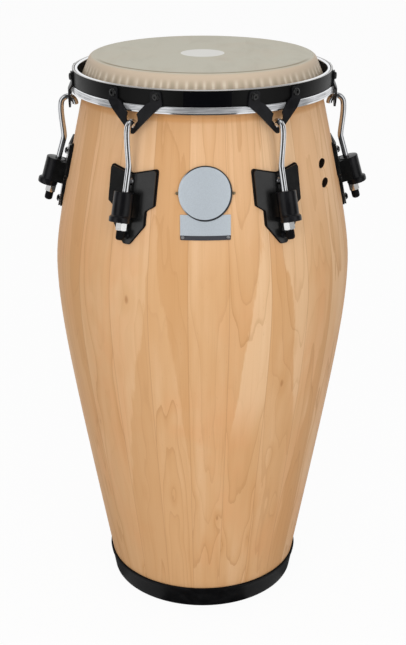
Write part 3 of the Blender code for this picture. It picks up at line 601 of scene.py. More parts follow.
def buildShell():
    wall = shell["wall"]
    foot = shell["footHeight"]
    footRadius = shellRadius(foot)
    heights = spaced(touchZ, foot, shell["rows"])[:-1]
    profile = arc((edgeRadius, edgeZ), shell["edgeRound"], 0, degrees(sideAngle), 8)[:-1]
    profile += [(shellRadius(z), z) for z in heights]
    profile += [(footRadius + 0.1 * mm, foot + 1 * mm), (footRadius - 1 * mm, foot),
                (footRadius - wall, foot)]
    profile += [(shellRadius(z) - wall, z) for z in reversed(heights)]
    profile.append((shellRadius(touchZ) - wall + shell["edgeInner"], edgeZ + shell["edgeRound"]))
    mesh = cutPorts(revolve(profile))
    finishShell(mesh)
    creased(mesh, 35)
    addPiece("shellStaves", mesh, "shell", ["shell"])


buildShell()
print("conga: shell built")


# Foot ring

footRing = {
    "wall": 2 * mm,
    "height": 32 * mm,
    "lip": 5 * mm,
    "lipProud": 0.9 * mm,
    "insideHeight": 16 * mm,
    "round": 0.9 * mm,
}


def buildFootRing():
    top = footRing["height"]
    wall = footRing["wall"]
    proud = footRing["lipProud"]
    low = top - footRing["lip"]
    inside = footRing["insideHeight"]
    floor = shell["footHeight"] - gap
    soft = footRing["round"]

    def outer(z):
        return shellRadius(z) + gap + wall

    def inner(z):
        return shellRadius(z) - shell["wall"] - gap

    corners = [(shellRadius(top) + gap, top, 0.3 * mm), (outer(top) + proud, top, soft),
               (outer(low) + proud, low, 0.4 * mm), (outer(low), low - proud, 0.3 * mm)]
    corners += [(outer(z), z, 0) for z in spaced(low - proud, 0, 5)[1:-1]]
    corners += [(outer(0), 0, soft), (inner(0) - wall, 0, soft), (inner(inside) - wall, inside, 0.5 * mm),
                (inner(inside), inside, 0), (inner(floor), floor, 0), (shellRadius(floor) + gap, floor, 0)]
    mesh = coated(revolve(roundCorners(corners, 3)), rubberFinish)
    addPiece("footRingRubber", mesh, "shell", ["bottom_ring"])


buildFootRing()


# Rim sizes, which the skin follows too

rim = {
    "beadInside": 1.7 * mm,         # how far the rolled edge stands in from the wall
    "wall": 2.5 * mm,
    "clearance": 0.5 * mm,
    "shoulder": 3.7 * mm,
    "pocketWall": 2.1 * mm,
    "hoopWire": 3.2 * mm,
    "bulge": 0.35 * mm,
    "bulgeRound": 1.9 * mm,
    "bright": (0.83, 0.84, 0.86),
    # the colour of the painted dark reflection on the bulge
    "bulgeReflection": (0.27, 0.275, 0.29),
    # the colour of the painted reflection of the wood
    "woodReflection": (0.30, 0.20, 0.12),
}
collarFlare = radians(24.0)
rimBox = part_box("rim_hoop")
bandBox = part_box("rim_band")
rimTop = rimBox[1].z
skirtZ = rimBox[0].z
pocketOut = -rimBox[0].y
bandTop = bandBox[1].z
bandBottom = bandBox[0].z
bandOut = -bandBox[0].y
shoulderTop = bandBottom - gap
pocketTop = shoulderTop - rim["shoulder"]
hoopZ = pocketTop - gap - rim["hoopWire"]
collarAngle = pi / 2 - collarFlare
skinOut = shell["edgeRound"] + gap + skinThickness
collarTop = (edgeRadius + skinOut * sin(collarAngle), edgeZ + skinOut * cos(collarAngle))


def collarRadius(z):
    return collarTop[0] + (collarTop[1] - z) * tan(collarFlare)


hoopRadius = collarRadius(hoopZ)
wallIn = collarRadius(pocketTop) + rim["clearance"]
wallOut = wallIn + rim["wall"]


# Skin: flat top, rounded shoulder and a pleated collar that is tucked round the flesh hoop

skin = {
    "flatRows": 18,
    "collarRows": 22,
    "steps": 720,
    "pleats": 80,
    "pleatDepth": 0.8 * mm,
    # waves round the drum that make the pleats uneven: their number, start and size
    "drift": ((3, 0.4, 0.9), (7, 2.0, 0.6), (17, 0.0, 0.35)),
    "wrap": 1.0 * mm,
    "patch": 28.5 * mm,
    "flat": (0.553, 0.527, 0.436),
    "collar": (0.570, 0.462, 0.350),
    # streak: the colour of the painted highlight on the pleats' crests
    "streak": (0.740, 0.660, 0.540),
    "shade": (0.330, 0.285, 0.205),
    # the colour of the painted shade on the shoulder
    "shoulderShade": (0.300, 0.250, 0.170),
    "patchColour": (0.800, 0.790, 0.760),
}


def pleatDepth(azimuth, z):
    # folds that start below the shoulder and deepen towards the hoop
    angle = radians(azimuth)
    drift = sum(size * sin(waves * angle + start) for waves, start, size in skin["drift"])
    fold = sin(skin["pleats"] * angle + drift * 2.2)
    second = sin(2.0 * skin["pleats"] * angle / 3 + 1.7 * drift)
    depth = 0.5 + 0.36 * fold + 0.14 * second
    strength = smoothStep(collarTop[1] - z, 0.5 * mm, 10 * mm)
    return skin["pleatDepth"] * strength * depth


def makeSkinFinish():
    hide = Finish("drum skin", IOR=1.42, Specular_IOR_Level=0.14)
    step, mix = hide.step, hide.mix
    vector, x, y, z = hide.place()
    radius = hide.maths("SQRT", x * x + y * y)
    angle = hide.azimuth(x, y)
    mottle = hide.noise(vector, 16.0, 4.0, 0.6, 0.6)
    fine = hide.noise(vector, 420.0, 2.0, 0.6)
    fibres = hide.streaks(x * 26.0, y * 9.0, z, 4.0, 0.65, 0.8)
    drift = 0.0
    for waves, start, size in skin["drift"]:
        drift = hide.maths("SINE", angle * float(waves) + start) * size + drift
    fold = hide.maths("SINE", angle * float(skin["pleats"]) + drift * 2.2)
    uneven = hide.streaks(x * 70.0, y * 70.0, z * 20.0, 2.0, 0.55)
    onCollar = step(radius, edgeRadius + 1.5 * mm, edgeRadius + 5.5 * mm)
    low = step(z, collarTop[1] - 0.5 * mm, collarTop[1] - 9 * mm)
    flat = mix(step(mottle, 0.4, 0.75) * 0.25, skin["flat"], skin["collar"])
    flat = mix(step(fibres, 0.45, 0.75) * 0.16, flat, skin["shade"])
    patch = step(radius, skin["patch"] + 0.3 * mm, skin["patch"] - 0.3 * mm)
    flat = mix(patch * 0.9, flat, skin["patchColour"])
    # painted light on the pleats: a painted highlight on the crests and painted shade in the valleys; the
    # lower collar is also darker towards the hoop
    crestHighlight = step(fold, 0.3, 0.95) * step(uneven, 0.30, 0.55, 0.3, 1.0)
    valleyShade = step(fold, 0.2, -0.8) * step(uneven, 0.70, 0.42, 0.3, 1.0)
    collar = mix(low * 0.16, skin["collar"], skin["shade"])
    collar = mix(low * crestHighlight * 0.7, collar, skin["streak"])
    collar = mix(low * valleyShade * 0.45, collar, skin["shade"])
    shoulderShade = step(radius, edgeRadius - 4.4 * mm, edgeRadius - 2.2 * mm)
    shoulderShade = shoulderShade * step(radius, edgeRadius + 2.2 * mm, edgeRadius + 0.6 * mm)
    # painted shade: a dark ring on the shoulder, where the flat top turns down, strongest towards the
    # player's side
    shoulderShade = shoulderShade * step(y, edgeRadius * -0.2, edgeRadius * -0.6, 0.0, 0.95)
    hide.put("Base Color", mix(shoulderShade, mix(onCollar, flat, collar), skin["shoulderShade"]))
    hide.put("Roughness", fine * 0.15 + 0.43)
    hide.bump(fine * 0.6 + mottle * 0.8, 0.06 * mm)
    return hide


def buildSkin():
    thick = skinThickness
    end = degrees(collarAngle)
    centre = (edgeRadius, edgeZ)
    lowZ = hoopZ + rim["hoopWire"] * 0.75
    rows = skin["collarRows"]
    hoop = (hoopRadius, hoopZ)
    wrap = rim["hoopWire"] - 0.1 * mm
    inner = thick / cos(collarFlare)
    profile = [(radius, skinTop) for radius in spaced(0.0, edgeRadius, skin["flatRows"])[:-1]]
    profile += arc(centre, skinOut, 0, end, 8)
    profile += [(collarRadius(z), z) for z in spaced(collarTop[1], lowZ, rows)[1:-1]]
    profile += arc(hoop, wrap, 30, 300, 18) + arc(hoop, wrap - skin["wrap"], 300, 50, 14)
    profile += [(collarRadius(z) - inner, z) for z in spaced(lowZ, collarTop[1], rows)[1:]]
    profile += arc(centre, skinOut - thick, end, 0, 8) + [(0, skinTop - thick)]

    def folded(point, azimuth):
        radius, z = point
        if pocketTop - 2 * mm < z < collarTop[1] and radius > edgeRadius:
            return (radius - pleatDepth(azimuth, z), z)
        return point

    mesh = coated(revolve(profile, skin["steps"], folded), makeSkinFinish())
    piece = addPiece("skinHead", mesh, None)
    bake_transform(piece)
    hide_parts("head_skin", "flesh_hoop")


buildSkin()
print("conga: skin built")


# Rim and band

def makeRimFinish():
    # bright on the rolled edge; the bulge gets a painted dark reflection, darker, rougher and less metallic
    # in streaks that run round it
    metal = Finish("rim chrome", Metallic=1.0)
    step = metal.step
    x, y, z = metal.place()[1:]
    angle = metal.azimuth(x, y)
    streaks = metal.streaks(angle * 4.0, z * 620.0, 0.0)
    cloud = metal.streaks(angle * 9.0, z * 60.0, 3.0)
    bulgeReflection = step(z, shoulderTop - 0.6 * mm, shoulderTop - 1.6 * mm)
    bulgeReflection = bulgeReflection * step(z, skirtZ + 1.6 * mm, skirtZ + 2.6 * mm)
    dull = step(streaks, 0.40, 0.60) * step(cloud, 0.3, 0.55, 0.4, 1.0)
    base = metal.mix(bulgeReflection * (dull * 0.55 + 0.25), rim["bright"], rim["bulgeReflection"])
    # painted reflection: a brown line along the rim's foot, the wood below shown in the chrome
    foot = step(z, skirtZ + 0.9 * mm, skirtZ + 0.5 * mm)
    metal.put("Base Color", metal.mix(foot * 0.7, base, rim["woodReflection"]))
    metal.put("Metallic", 1.0 - bulgeReflection * 0.45)
    metal.put("Roughness", bulgeReflection * (streaks * 0.20 + cloud * 0.10) + 0.06)
    return metal


def buildRim():
    bead = (rim["wall"] + rim["beadInside"]) / 2
    start = degrees(asin((bead - rim["beadInside"]) / bead)) - 180
    profile = arc((wallOut - bead, rimTop - bead), bead, start, 90, 18)
    pocketIn = pocketOut - rim["pocketWall"]
    bulge = rim["bulge"]
    edge = rim["bulgeRound"]
    corners = [
        (*profile[-1], 0),
        (wallOut, shoulderTop, 0.4 * mm),
        (pocketOut - bulge, shoulderTop, edge),
        (pocketOut, (shoulderTop + skirtZ) / 2, 30 * mm),
        (pocketOut - bulge, skirtZ, edge * 0.5),
        (pocketIn, skirtZ, 0.2 * mm),
        (pocketIn, pocketTop, 0.6 * mm),
        (wallIn, pocketTop, 0.6 * mm),
        (*profile[0], 0),
    ]
    profile += roundCorners(corners)[1:-1]
    mesh = coated(revolve(profile, 288), makeRimFinish(), steelFinish)
    for face in mesh.polygons:
        reach = hypot(face.center.x, face.center.y)
        inside = reach < wallIn + 0.8 * mm and face.center.z < rimTop - 2.2 * bead
        face.material_index = 1 if inside else 0
    addPiece("rimChrome", mesh, "rim", ["rim_hoop"])


band = {
    "thickness": 2.5 * mm,
    "edge": 0.7 * mm,
    "patchHalf": 9.8,           # degrees of the glossier stretch at the front
    "patchMiddle": 0.9,
    "paint": (0.0035, 0.0035, 0.0035),
    # patchReflection: the glossier front stretch is also painted darker, as a reflection of the dark place
    # in front
    "patchReflection": (0.002, 0.002, 0.003),
    "paleEdge": (0.62, 0.61, 0.60),
}


def makeBandFinish():
    black = Finish("rim band black", IOR=1.5, Specular_IOR_Level=0.15)
    vector, x, y, z = black.place()
    away = black.maths("ABSOLUTE", black.azimuth(x, y) - radians(band["patchMiddle"]))
    patch = black.step(away, radians(band["patchHalf"] + 0.2), radians(band["patchHalf"] - 0.2))
    cloud = black.noise(vector, 70.0, 3.0, 0.6)
    # a thin pale metallic line along the top edge
    paleEdge = black.step(z, bandTop - 0.22 * mm, bandTop - 0.1 * mm)
    # painted reflection: the front stretch is painted darker
    paint = black.mix(patch, band["paint"], band["patchReflection"])
    black.put("Base Color", black.mix(paleEdge, paint, band["paleEdge"]))
    black.put("Metallic", paleEdge * 0.9)
    black.put("Roughness", cloud * 0.12 + 0.34 - patch * 0.2)
    black.bump(black.noise(vector, 1800.0), 0.02 * mm)
    return black


def buildBand():
    inner = bandOut - band["thickness"]
    corners = [(bandOut, bandTop, band["edge"]), (bandOut, bandBottom, band["edge"]),
               (inner, bandBottom, 0.3 * mm), (inner, bandTop, 0.3 * mm)]
    mesh = coated(revolve(roundCorners(corners, 4), 288), makeBandFinish())
    addPiece("bandSteel", mesh, "rim", ["rim_band"])


buildRim()
buildBand()


# V brackets, each with two domed bolts

bracket = {
    "thickness": 2.5 * mm,
    "standoff": 2.7 * mm,
    "tipDrop": 37.5 * mm,
    "reach": 38 * mm,
    "inner": 17 * mm,
    "hookRise": 7 * mm,             # the hook's centre over the tip, and out from the sheet's middle
    "hookOut": 2.05 * mm,
    "slotRise": 1.9 * mm,
    "keyWidth": 8.2 * mm,           # half width of the wide part of the slot
    "keyNeck": 6.6 * mm,
    "keyFoot": 5.5 * mm,
    "keyTop": 13 * mm,
    "keyHeight": 17.5 * mm,
    "tab": 13 * mm,
    "tabRound": 3 * mm,
    "boltAngle": 10.0,
    "boltRise": 1 * mm,
    "boltHead": 5 * mm,
    "boltDome": 2.6 * mm,
    "hex": 1.7 * mm,
    "edge": 0.45 * mm,
}
rodRadius = 4 * mm
tabIn = bandOut + gap
strapIn = pocketOut + bracket["standoff"]
tipZ = bandBottom - bracket["tipDrop"]
hookCentre = Vector((strapIn + bracket["thickness"] / 2 + bracket["hookOut"], tipZ + bracket["hookRise"]))
apexZ = hookCentre.y + bracket["slotRise"]
boltZ = (bandTop + bandBottom) / 2 + bracket["boltRise"]


def bracketOutline():
    side = tabIn * sin(radians(bracket["boltAngle"]))
    left = side - bracket["tab"] / 2
    right = side + bracket["tab"] / 2
    bend = bandBottom + 1 * mm
    slot = rodRadius + 2 * gap
    wide = bracket["keyWidth"]
    tabTop = bandTop - 2 * mm
    outer = [(left, tabTop, bracket["tabRound"]), (right, tabTop, bracket["tabRound"]),
             (max(bracket["reach"], right), bend, 2.5 * mm), (2 * slot, tipZ + 2 * slot, 3 * mm)]
    inner = [(slot, apexZ, 3.5 * mm), (slot, apexZ + bracket["keyFoot"], 0.8 * mm),
             (wide, apexZ + bracket["keyFoot"] + wide - slot, 1.5 * mm),
             (wide, apexZ + bracket["keyTop"], 1.5 * mm),
             (bracket["keyNeck"], apexZ + bracket["keyHeight"], 1 * mm),
             (bracket["inner"], bend, 1.5 * mm), (left, bend + bracket["tab"] / 4, 1.5 * mm)]
    return roundCorners(outer + [(0, tipZ, 4 * mm)] + mirrored(outer) + mirrored(inner) + inner, 5)


def boltHead():
    # a washer face, a domed head and a hexagonal socket
    wide = bracket["boltHead"]
    dome = bracket["boltDome"]
    ringIn = wide * 0.52
    profile = [(0, dome), (ringIn, dome)]
    profile += arc((ringIn, dome - wide * 0.42), wide * 0.42, 12, 78, 6)
    profile += [(wide * 0.97, 0.5 * mm), (wide, 0.3 * mm), (wide, -0.4 * mm), (0, -0.4 * mm)]
    turns = [radians(60 * k) for k in range(6)]
    corners = [(bracket["hex"] * cos(turn), bracket["hex"] * sin(turn)) for turn in turns]
    socket = loft([[(x, y, z) for x, y in corners] for z in (dome * 0.25, dome * 2)])
    return combine(revolve(profile, 40), socket)


def buildBrackets():
    thick = bracket["thickness"]
    bendTop = bandBottom + 2 * mm
    bendLow = pocketTop - 4 * mm
    drop = thick * tan(atan((strapIn - tabIn) / (bendTop - bendLow)) / 2)
    low = tipZ - 2 * thick
    high = bandTop + 2 * thick
    corners = [(tabIn, high, 0), (tabIn, bendTop, 4 * mm), (strapIn, bendLow, 3 * mm), (strapIn, low, 0),
               (strapIn + thick, low, 0), (strapIn + thick, bendLow + drop, 5 * mm),
               (tabIn + thick, bendTop + drop, 2 * mm), (tabIn + thick, high, 0)]
    sheet = sector(roundCorners(corners, 5), 15.0, 20)
    cut = prism(bracketOutline(), tabIn - 4 * thick, strapIn + 4 * thick)
    mesh = softened(combine(sheet, cut, "INTERSECT"), bracket["edge"], 2)
    atLugs("bracketStrap", coated(mesh, steelFinish), "rim", "v_bracket_#")
    bolts = [stoodRound(boltHead(), tabIn + thick, side, boltZ)
             for side in (-bracket["boltAngle"], bracket["boltAngle"])]
    atLugs("bracketBolts", coated(joinMeshes(*bolts), boltFinish), "rim")


buildBrackets()
print("conga: rim, band and brackets built")


# The lug's own lines: plate ridge, rod axis and barrel

lug = {
    "drop": 141.1 * mm,             # playing surface to where the barrel's top meets the plate
    "notchRise": 21.1 * mm,
    "tipDrop": 62.4 * mm,
    "wingTopRise": 29.1 * mm,
    "wingFootDrop": 13.9 * mm,
    "stemTopDrop": 20.9 * mm,
    "stemFootDrop": 39.4 * mm,
    "wingWidth": 32.2 * mm,
    "stemWidth": 21.5 * mm,
    "tipWidth": 4 * mm,
    "stand": 6 * mm,
    "facet": 6.0,
    "crown": 3 * mm,                # half width of the rounded ridge
    "gasket": 2.4 * mm,
    "gasketBorder": 1.2 * mm,
    "plateEdge": 1.3 * mm,
    "tilt": 16.5,
}
lugZ = skinTop - lug["drop"]
notchZ = lugZ + lug["notchRise"]
plateTipZ = lugZ - lug["tipDrop"]
wingTop = lugZ + lug["wingTopRise"]
ridgeTop = shellRadius(notchZ) + lug["stand"]
ridgeSlope = (shellRadius(plateTipZ) + lug["stand"] - ridgeTop) / (notchZ - plateTipZ)
plateTilt = atan(ridgeSlope)


def ridgeRadius(z):
    return ridgeTop + (notchZ - z) * ridgeSlope


tilt = radians(lug["tilt"])
rodDown = Vector((sin(tilt), -cos(tilt)))
rodOut = Vector((cos(tilt), sin(tilt)))

barrel = {
    "radius": 12.5 * mm,
    "length": 37.5 * mm,
    "edge": 0.9 * mm,
    "skirt": 6 * mm,
    "skirtGrowth": 0.6 * mm,
    "skirtShift": 3 * mm,
    "boreInset": 3 * mm,
    "boreClearance": 0.4 * mm,
    "sides": 72,
    "saddleWidth": 13.4 * mm,
    "saddleDepth": 1.5 * mm,        # the cradle reaches round the barrel's sides to here
    "saddleStart": 0.6 * mm,
    "saddleLength": 29 * mm,
}
barrelTop = Vector((ridgeRadius(lugZ) + gap, lugZ)) + rodOut * barrel["radius"]
rodTop = barrelTop - rodOut * barrel["boreInset"]
barrelFoot = rodTop + rodDown * barrel["length"]
boreRadius = rodRadius + barrel["boreClearance"]


def ringRound(centre, radius, sides, outwards=rodOut):
    # a circle square to the rod, in the front lug's plane
    turns = [2 * pi * (k + 0.5) / sides for k in range(sides)]
    return [inPlane(centre + outwards * radius * cos(turn), radius * sin(turn)) for turn in turns]


def buildBarrels():
    wide = barrel["radius"]
    edge = barrel["edge"]
    foot = barrel["length"]
    skirt = foot - barrel["skirt"]
    grown = wide + barrel["skirtGrowth"]
    shift = barrel["skirtShift"]
    # how far down the rod, the radius there and how far out it is
    stations = [(0, wide - edge, 0), (edge * 0.13, wide - edge * 0.5, 0),
                (edge * 0.5, wide - edge * 0.13, 0)]
    stations += [(down, wide, 0) for down in spaced(edge, skirt - shift, 5)]
    for k in range(1, 9):
        t = smoothStep(k / 8, 0, 1)
        stations.append((skirt - shift + shift * k / 8, wide + (grown - wide) * t, shift * t))
    stations += [(foot - 2 * edge, grown, shift), (foot - edge, grown - edge * 0.15, shift),
                 (foot - edge * 0.3, grown - edge * 0.5, shift), (foot, grown - edge * 1.2, shift)]
    body = loft([ringRound(barrelTop + rodDown * down + rodOut * out, radius, barrel["sides"])
                 for down, radius, out in stations])
    chamfer = 0.4 * mm
    way = ((-foot / 4, boreRadius + foot / 4 + chamfer), (chamfer, boreRadius), (foot * 1.3, boreRadius))
    bore = loft([ringRound(rodTop + rodDown * down, radius, 40) for down, radius in way])
    mesh = coated(creased(combine(body, bore), 32), castFinish)
    atLugs("barrelCast", mesh, "shell", "lug_barrel_#")


# Side plates on their gaskets

def plateOutline(border):
    half = [
        (0, notchZ + border, 3 * mm),
        (lug["wingWidth"] + border, wingTop + border, 3.5 * mm),
        (lug["wingWidth"] + border, lugZ - lug["wingFootDrop"] - border / 2, 3 * mm),
        (lug["stemWidth"] + border, lugZ - lug["stemTopDrop"] - border / 2, 3 * mm),
        (lug["stemWidth"] + border, lugZ - lug["stemFootDrop"], 4 * mm),
        (lug["tipWidth"], plateTipZ - border, 4 * mm),
    ]
    return roundCorners(half + mirrored(half[1:]), 5)


def plateBlock(border):
    near = shellRadius(wingTop) - shell["wall"]
    far = ridgeRadius(plateTipZ) + 2 * lug["wingWidth"]
    return prism(plateOutline(border), near, far)


def shellLayer(inner, outer):
    # an even layer over the shell, past the plate on all sides
    heights = spaced(wingTop + 40 * mm, plateTipZ - 40 * mm, 14)
    profile = [(shellRadius(z) + outer, z) for z in heights]
    profile += [(shellRadius(z) + inner, z) for z in reversed(heights)]
    return sector(profile, 15.0, 30)


def plateRoof():
    # the space under the plate's two outer facets
    top = wingTop + 2 * lug["stand"]
    low = plateTipZ - 2 * lug["stand"]
    side = 2 * lug["wingWidth"]
    slope = tan(radians(lug["facet"]))
    crown = lug["crown"]
    profile = [(-side, side * slope), (-crown, crown * slope), (0, crown * slope / 2),
               (crown, crown * slope), (side, side * slope), (side, side), (-side, side)]
    return loft([[(x, -ridgeRadius(z) + y, z) for x, y in profile] for z in (top, low)])


def saddleBlock():
    start = barrelTop + rodDown * barrel["saddleStart"]
    outer = -rodOut * barrel["saddleDepth"]
    inner = outer - rodOut * (3 * lug["stand"] + barrel["radius"] - barrel["saddleDepth"])
    width = barrel["saddleWidth"]
    corners = [(outer, -width), (outer, width), (inner, width), (inner, -width)]
    return loft([[inPlane(point + depth, across) for depth, across in corners]
                 for point in (start, start + rodDown * barrel["saddleLength"])])


def buildPlates():
    body = combine(plateBlock(0), plateRoof(), "INTERSECT")
    body = combine(body, saddleBlock(), "UNION")
    body = combine(body, shellLayer(-2 * lug["wingWidth"], gap * 2 + lug["gasket"]))
    coated(body, plateFinish, plateEdgeFinish)
    body = softened(body, lug["plateEdge"], 4, 38, 1)
    seat = barrel["radius"] + gap
    rows = [ringRound(barrelTop + rodDown * down, seat, 72) for down in (-gap, 2 * barrel["length"])]
    body = combine(body, loft(rows))
    # the cradle is duller than the plate
    for face in body.polygons:
        x, y, z = face.center
        if abs(x) < barrel["saddleWidth"] + 1 * mm and -y > ridgeRadius(z) + 0.8 * mm:
            face.material_index = 1
    atLugs("plateCast", body, "shell", "side_plate_#")


def buildGaskets():
    sheet = shellLayer(gap, gap + lug["gasket"])
    mesh = softened(combine(sheet, plateBlock(lug["gasketBorder"]), "INTERSECT"), 0.5 * mm, 2)
    atLugs("gasketRubber", coated(mesh, rubberFinish), "shell", "plate_gasket_#")


plateScrew = {
    "upperRise": 13.1 * mm,
    "lowerDrop": 52.4 * mm,
    "radius": 2.2 * mm,
    "head": 4.8 * mm,
    "height": 3 * mm,
    "past": 6.5 * mm,           # shank past the shell's inner face
    "nut": 4 * mm,
    "nutHeight": 3.2 * mm,
    "washer": 6.2 * mm,
    "washerHeight": 1.2 * mm,
}


def hexNut(flat, height, hole):
    # hexagonal nut that hangs down from the origin, with chamfered corners
    corner = flat / cos(radians(30))
    angles = [radians(60 * k + 30) for k in range(6)]
    body = loft([[(corner * sin(angle), corner * cos(angle), z) for angle in angles] for z in (0, -height)])
    cone = (corner - flat) * 0.75
    wide = corner + 0.05 * mm
    profile = [(hole, 0), (flat * 0.97, 0), (wide, -cone), (wide, -height + cone), (flat * 0.97, -height),
               (hole, -height)]
    return combine(body, revolve(profile, 48), "INTERSECT")


def screwParts(z):
    # domed head with a cross slot outside; washer, nut and thread end inside the shell
    seat = inPlane((ridgeRadius(z), z))
    direction = inPlane((cos(plateTilt), sin(plateTilt)))
    head = plateScrew["head"]
    height = plateScrew["height"]
    profile = [(0, height)] + arc((head * 0.35, height * 0.2), height * 0.8, 0, 60, 5)
    profile += [(head, height * 0.32), (head, 0), (0, 0)]
    dome = revolve(profile, 40)
    width = head * 0.13
    reach = head * 0.52
    for turn in (0, 90):
        corners = [(-reach, -width), (reach, -width), (reach, width), (-reach, width)]
        bar = loft([[(x, y, h) for x, y in corners] for h in (height * 0.45, height * 2)])
        bar.transform(Matrix.Rotation(radians(turn), 4, "Z"))
        dome = combine(dome, bar)
    base = seat + direction * gap
    stood(dome, base, direction)
    inner = seat - direction * (ridgeRadius(z) - shellRadius(z) + shell["wall"]) * cos(plateTilt)
    shaft = plateScrew["radius"]
    length = (base - inner).length + plateScrew["past"]
    profile = [(0, 0.5 * mm), (shaft, 0.5 * mm), (shaft, -length + 0.5 * mm), (shaft * 0.8, -length),
               (0, -length)]
    shank = stood(revolve(profile, 24), base, direction)
    wide = plateScrew["washer"]
    thick = plateScrew["washerHeight"]
    corners = [(wide, 0, 0.3 * mm), (wide, -thick, 0.3 * mm), (shaft, -thick, 0), (shaft, 0, 0)]
    washer = stood(revolve(roundCorners(corners, 3), 40), inner, direction)
    nut = hexNut(plateScrew["nut"], plateScrew["nutHeight"], shaft)
    stood(nut, inner - direction * (thick + 0.1 * mm), direction)
    return joinMeshes(dome, shank), joinMeshes(washer, nut)


def buildScrews():
    upper, upperNut = screwParts(lugZ + plateScrew["upperRise"])
    lower, lowerNut = screwParts(lugZ - plateScrew["lowerDrop"])
    atLugs("screwUpper", coated(upper, nickelFinish), "shell")
    atLugs("screwLower", coated(lower, castFinish), "shell", "plate_screw_#")
    atLugs("screwNuts", coated(joinMeshes(upperNut, lowerNut), zincFinish), "shell")


buildBarrels()
buildPlates()
buildGaskets()
buildScrews()
print("conga: lugs built")


# Tuning hooks, nuts and rubber caps

hook = {
    "bend": 9.4 * mm,
    "tip": 3 * mm,
    "lean": 12.0,
    "straight": 29 * mm,
    "lowHandle": 0.14,
    "highHandle": 0.3,
    "sides": 28,
}
nut = {"flats": 13 * mm, "height": 9.5 * mm}
cap = {"radius": 5.3 * mm, "length": 11.5 * mm, "end": 1.6 * mm, "round": 3.2 * mm, "ribs": 12,
       "ribDepth": 0.3 * mm}
nutTop = barrelFoot + rodDown * gap
capTop = nutTop + rodDown * (nut["height"] + gap)
capFoot = capTop + rodDown * cap["length"]
rodFoot = capFoot - rodDown * (cap["end"] + gap)


def hookLine():
    start = rodTop - rodDown * hook["straight"]
    lean = radians(hook["lean"])
    bend = [hookCentre + hook["bend"] * Vector((cos(angle), sin(angle))) for angle in spaced(lean, pi, 24)]
    end = bend[0]
    span = (end - start).length
    low = start - rodDown * span * hook["lowHandle"]
    high = end - span * hook["highHandle"] * Vector((-sin(lean), cos(lean)))
    points = spaced(rodFoot, start, 8)
    for t in spaced(0, 1, 20)[1:-1]:
        s = 1 - t
        points.append(start * s ** 3 + low * 3 * s * s * t + high * 3 * s * t * t + end * t ** 3)
    return points + bend


def buildHooks():
    line = hookLine()
    rows = []
    for i, point in enumerate(line):
        along = (line[min(len(line) - 1, i + 1)] - line[max(0, i - 1)]).normalized()
        rows.append(ringRound(point, rodRadius, hook["sides"], Vector((along.y, -along.x))))
    last = line[-1]
    along = (last - line[-2]).normalized()
    across = Vector((along.y, -along.x))
    for share in (0.5, 0.8, 0.97):
        down = hook["tip"] * 0.4 * share
        wide = rodRadius * sqrt(1 - share * share * 0.8)
        rows.append(ringRound(last + along * down, wide, hook["sides"], across))
    atLugs("hookChrome", coated(loft(rows), chromeFinish), "hook_#", "tuning_hook_#")


def buildNuts():
    mesh = creased(hexNut(nut["flats"] / 2, nut["height"], boreRadius), 25)
    stood(mesh, inPlane(nutTop), -inPlane(rodDown))
    atLugs("nutBright", coated(mesh, zincFinish), "nut_#", "tuning_nut_#")


def buildCaps():
    radius = cap["radius"]
    length = cap["length"]
    soft = cap["round"]
    ceiling = -length + cap["end"]

    def ribbed(point, azimuth):
        r, z = point
        if r < radius * 0.95:
            return point
        wave = cos(radians(azimuth) * cap["ribs"])
        return (r - cap["ribDepth"] * max(0.0, wave) ** 2, z)

    profile = [(0, -length)] + arc((radius - soft, -length + soft), soft, 180, 90, 8)
    profile += [(radius, -length * 0.6), (radius, -length * 0.3), (radius, -0.5 * mm),
                (radius - 0.5 * mm, 0), (boreRadius, 0), (boreRadius, ceiling), (0, ceiling)]
    mesh = stood(revolve(profile, 96, ribbed), inPlane(capTop), -inPlane(rodDown))
    atLugs("capRubber", coated(mesh, rubberFinish), "hook_#", "hook_cap_#")


buildHooks()
buildNuts()
buildCaps()
print("conga: hooks, nuts and caps built")


# Badge: a disc over a rectangular label, and four nails

badge = {
    "drop": 138 * mm,
    "radius": 32.8 * mm,
    "thickness": 0.8 * mm,
    # ring: a dark line painted round the disc as its shaded edge and cast shadow
    "ring": 1.3 * mm,           # dark line round the disc
    "ringGrowth": 1.0 * mm,
    "labelDrop": 25.5 * mm,
    "labelHeight": 30 * mm,
    "labelWidth": 30.8 * mm,
    "strip": 5.5 * mm,          # dark strip along the label's foot
    "nailHead": 2 * mm,
    "nailHeight": 0.9 * mm,
    "nailRadius": 0.8 * mm,
    "nailLength": 12 * mm,
    "nailMargin": 3.3 * mm,
    "silver": (0.515, 0.568, 0.615),
    "speck": (0.36, 0.39, 0.43),
    # dark: the colour of the painted shadow round the disc
    "dark": (0.020, 0.022, 0.026),
    "stripColour": (0.045, 0.047, 0.056),
}
badgeZ = skinTop - badge["drop"]
labelTop = badgeZ - badge["labelDrop"]
labelBottom = labelTop - badge["labelHeight"]


def onShell(mesh, middleZ, lift):
    # bends a flat piece, drawn in X and Y with its thickness along Z, over the shell's front
    for vertex in mesh.vertices:
        across, up, out = vertex.co
        z = middleZ + up
        radius = shellRadius(z) + lift + out
        vertex.co = (across, -sqrt(radius * radius - across * across), z)
    mesh.update()


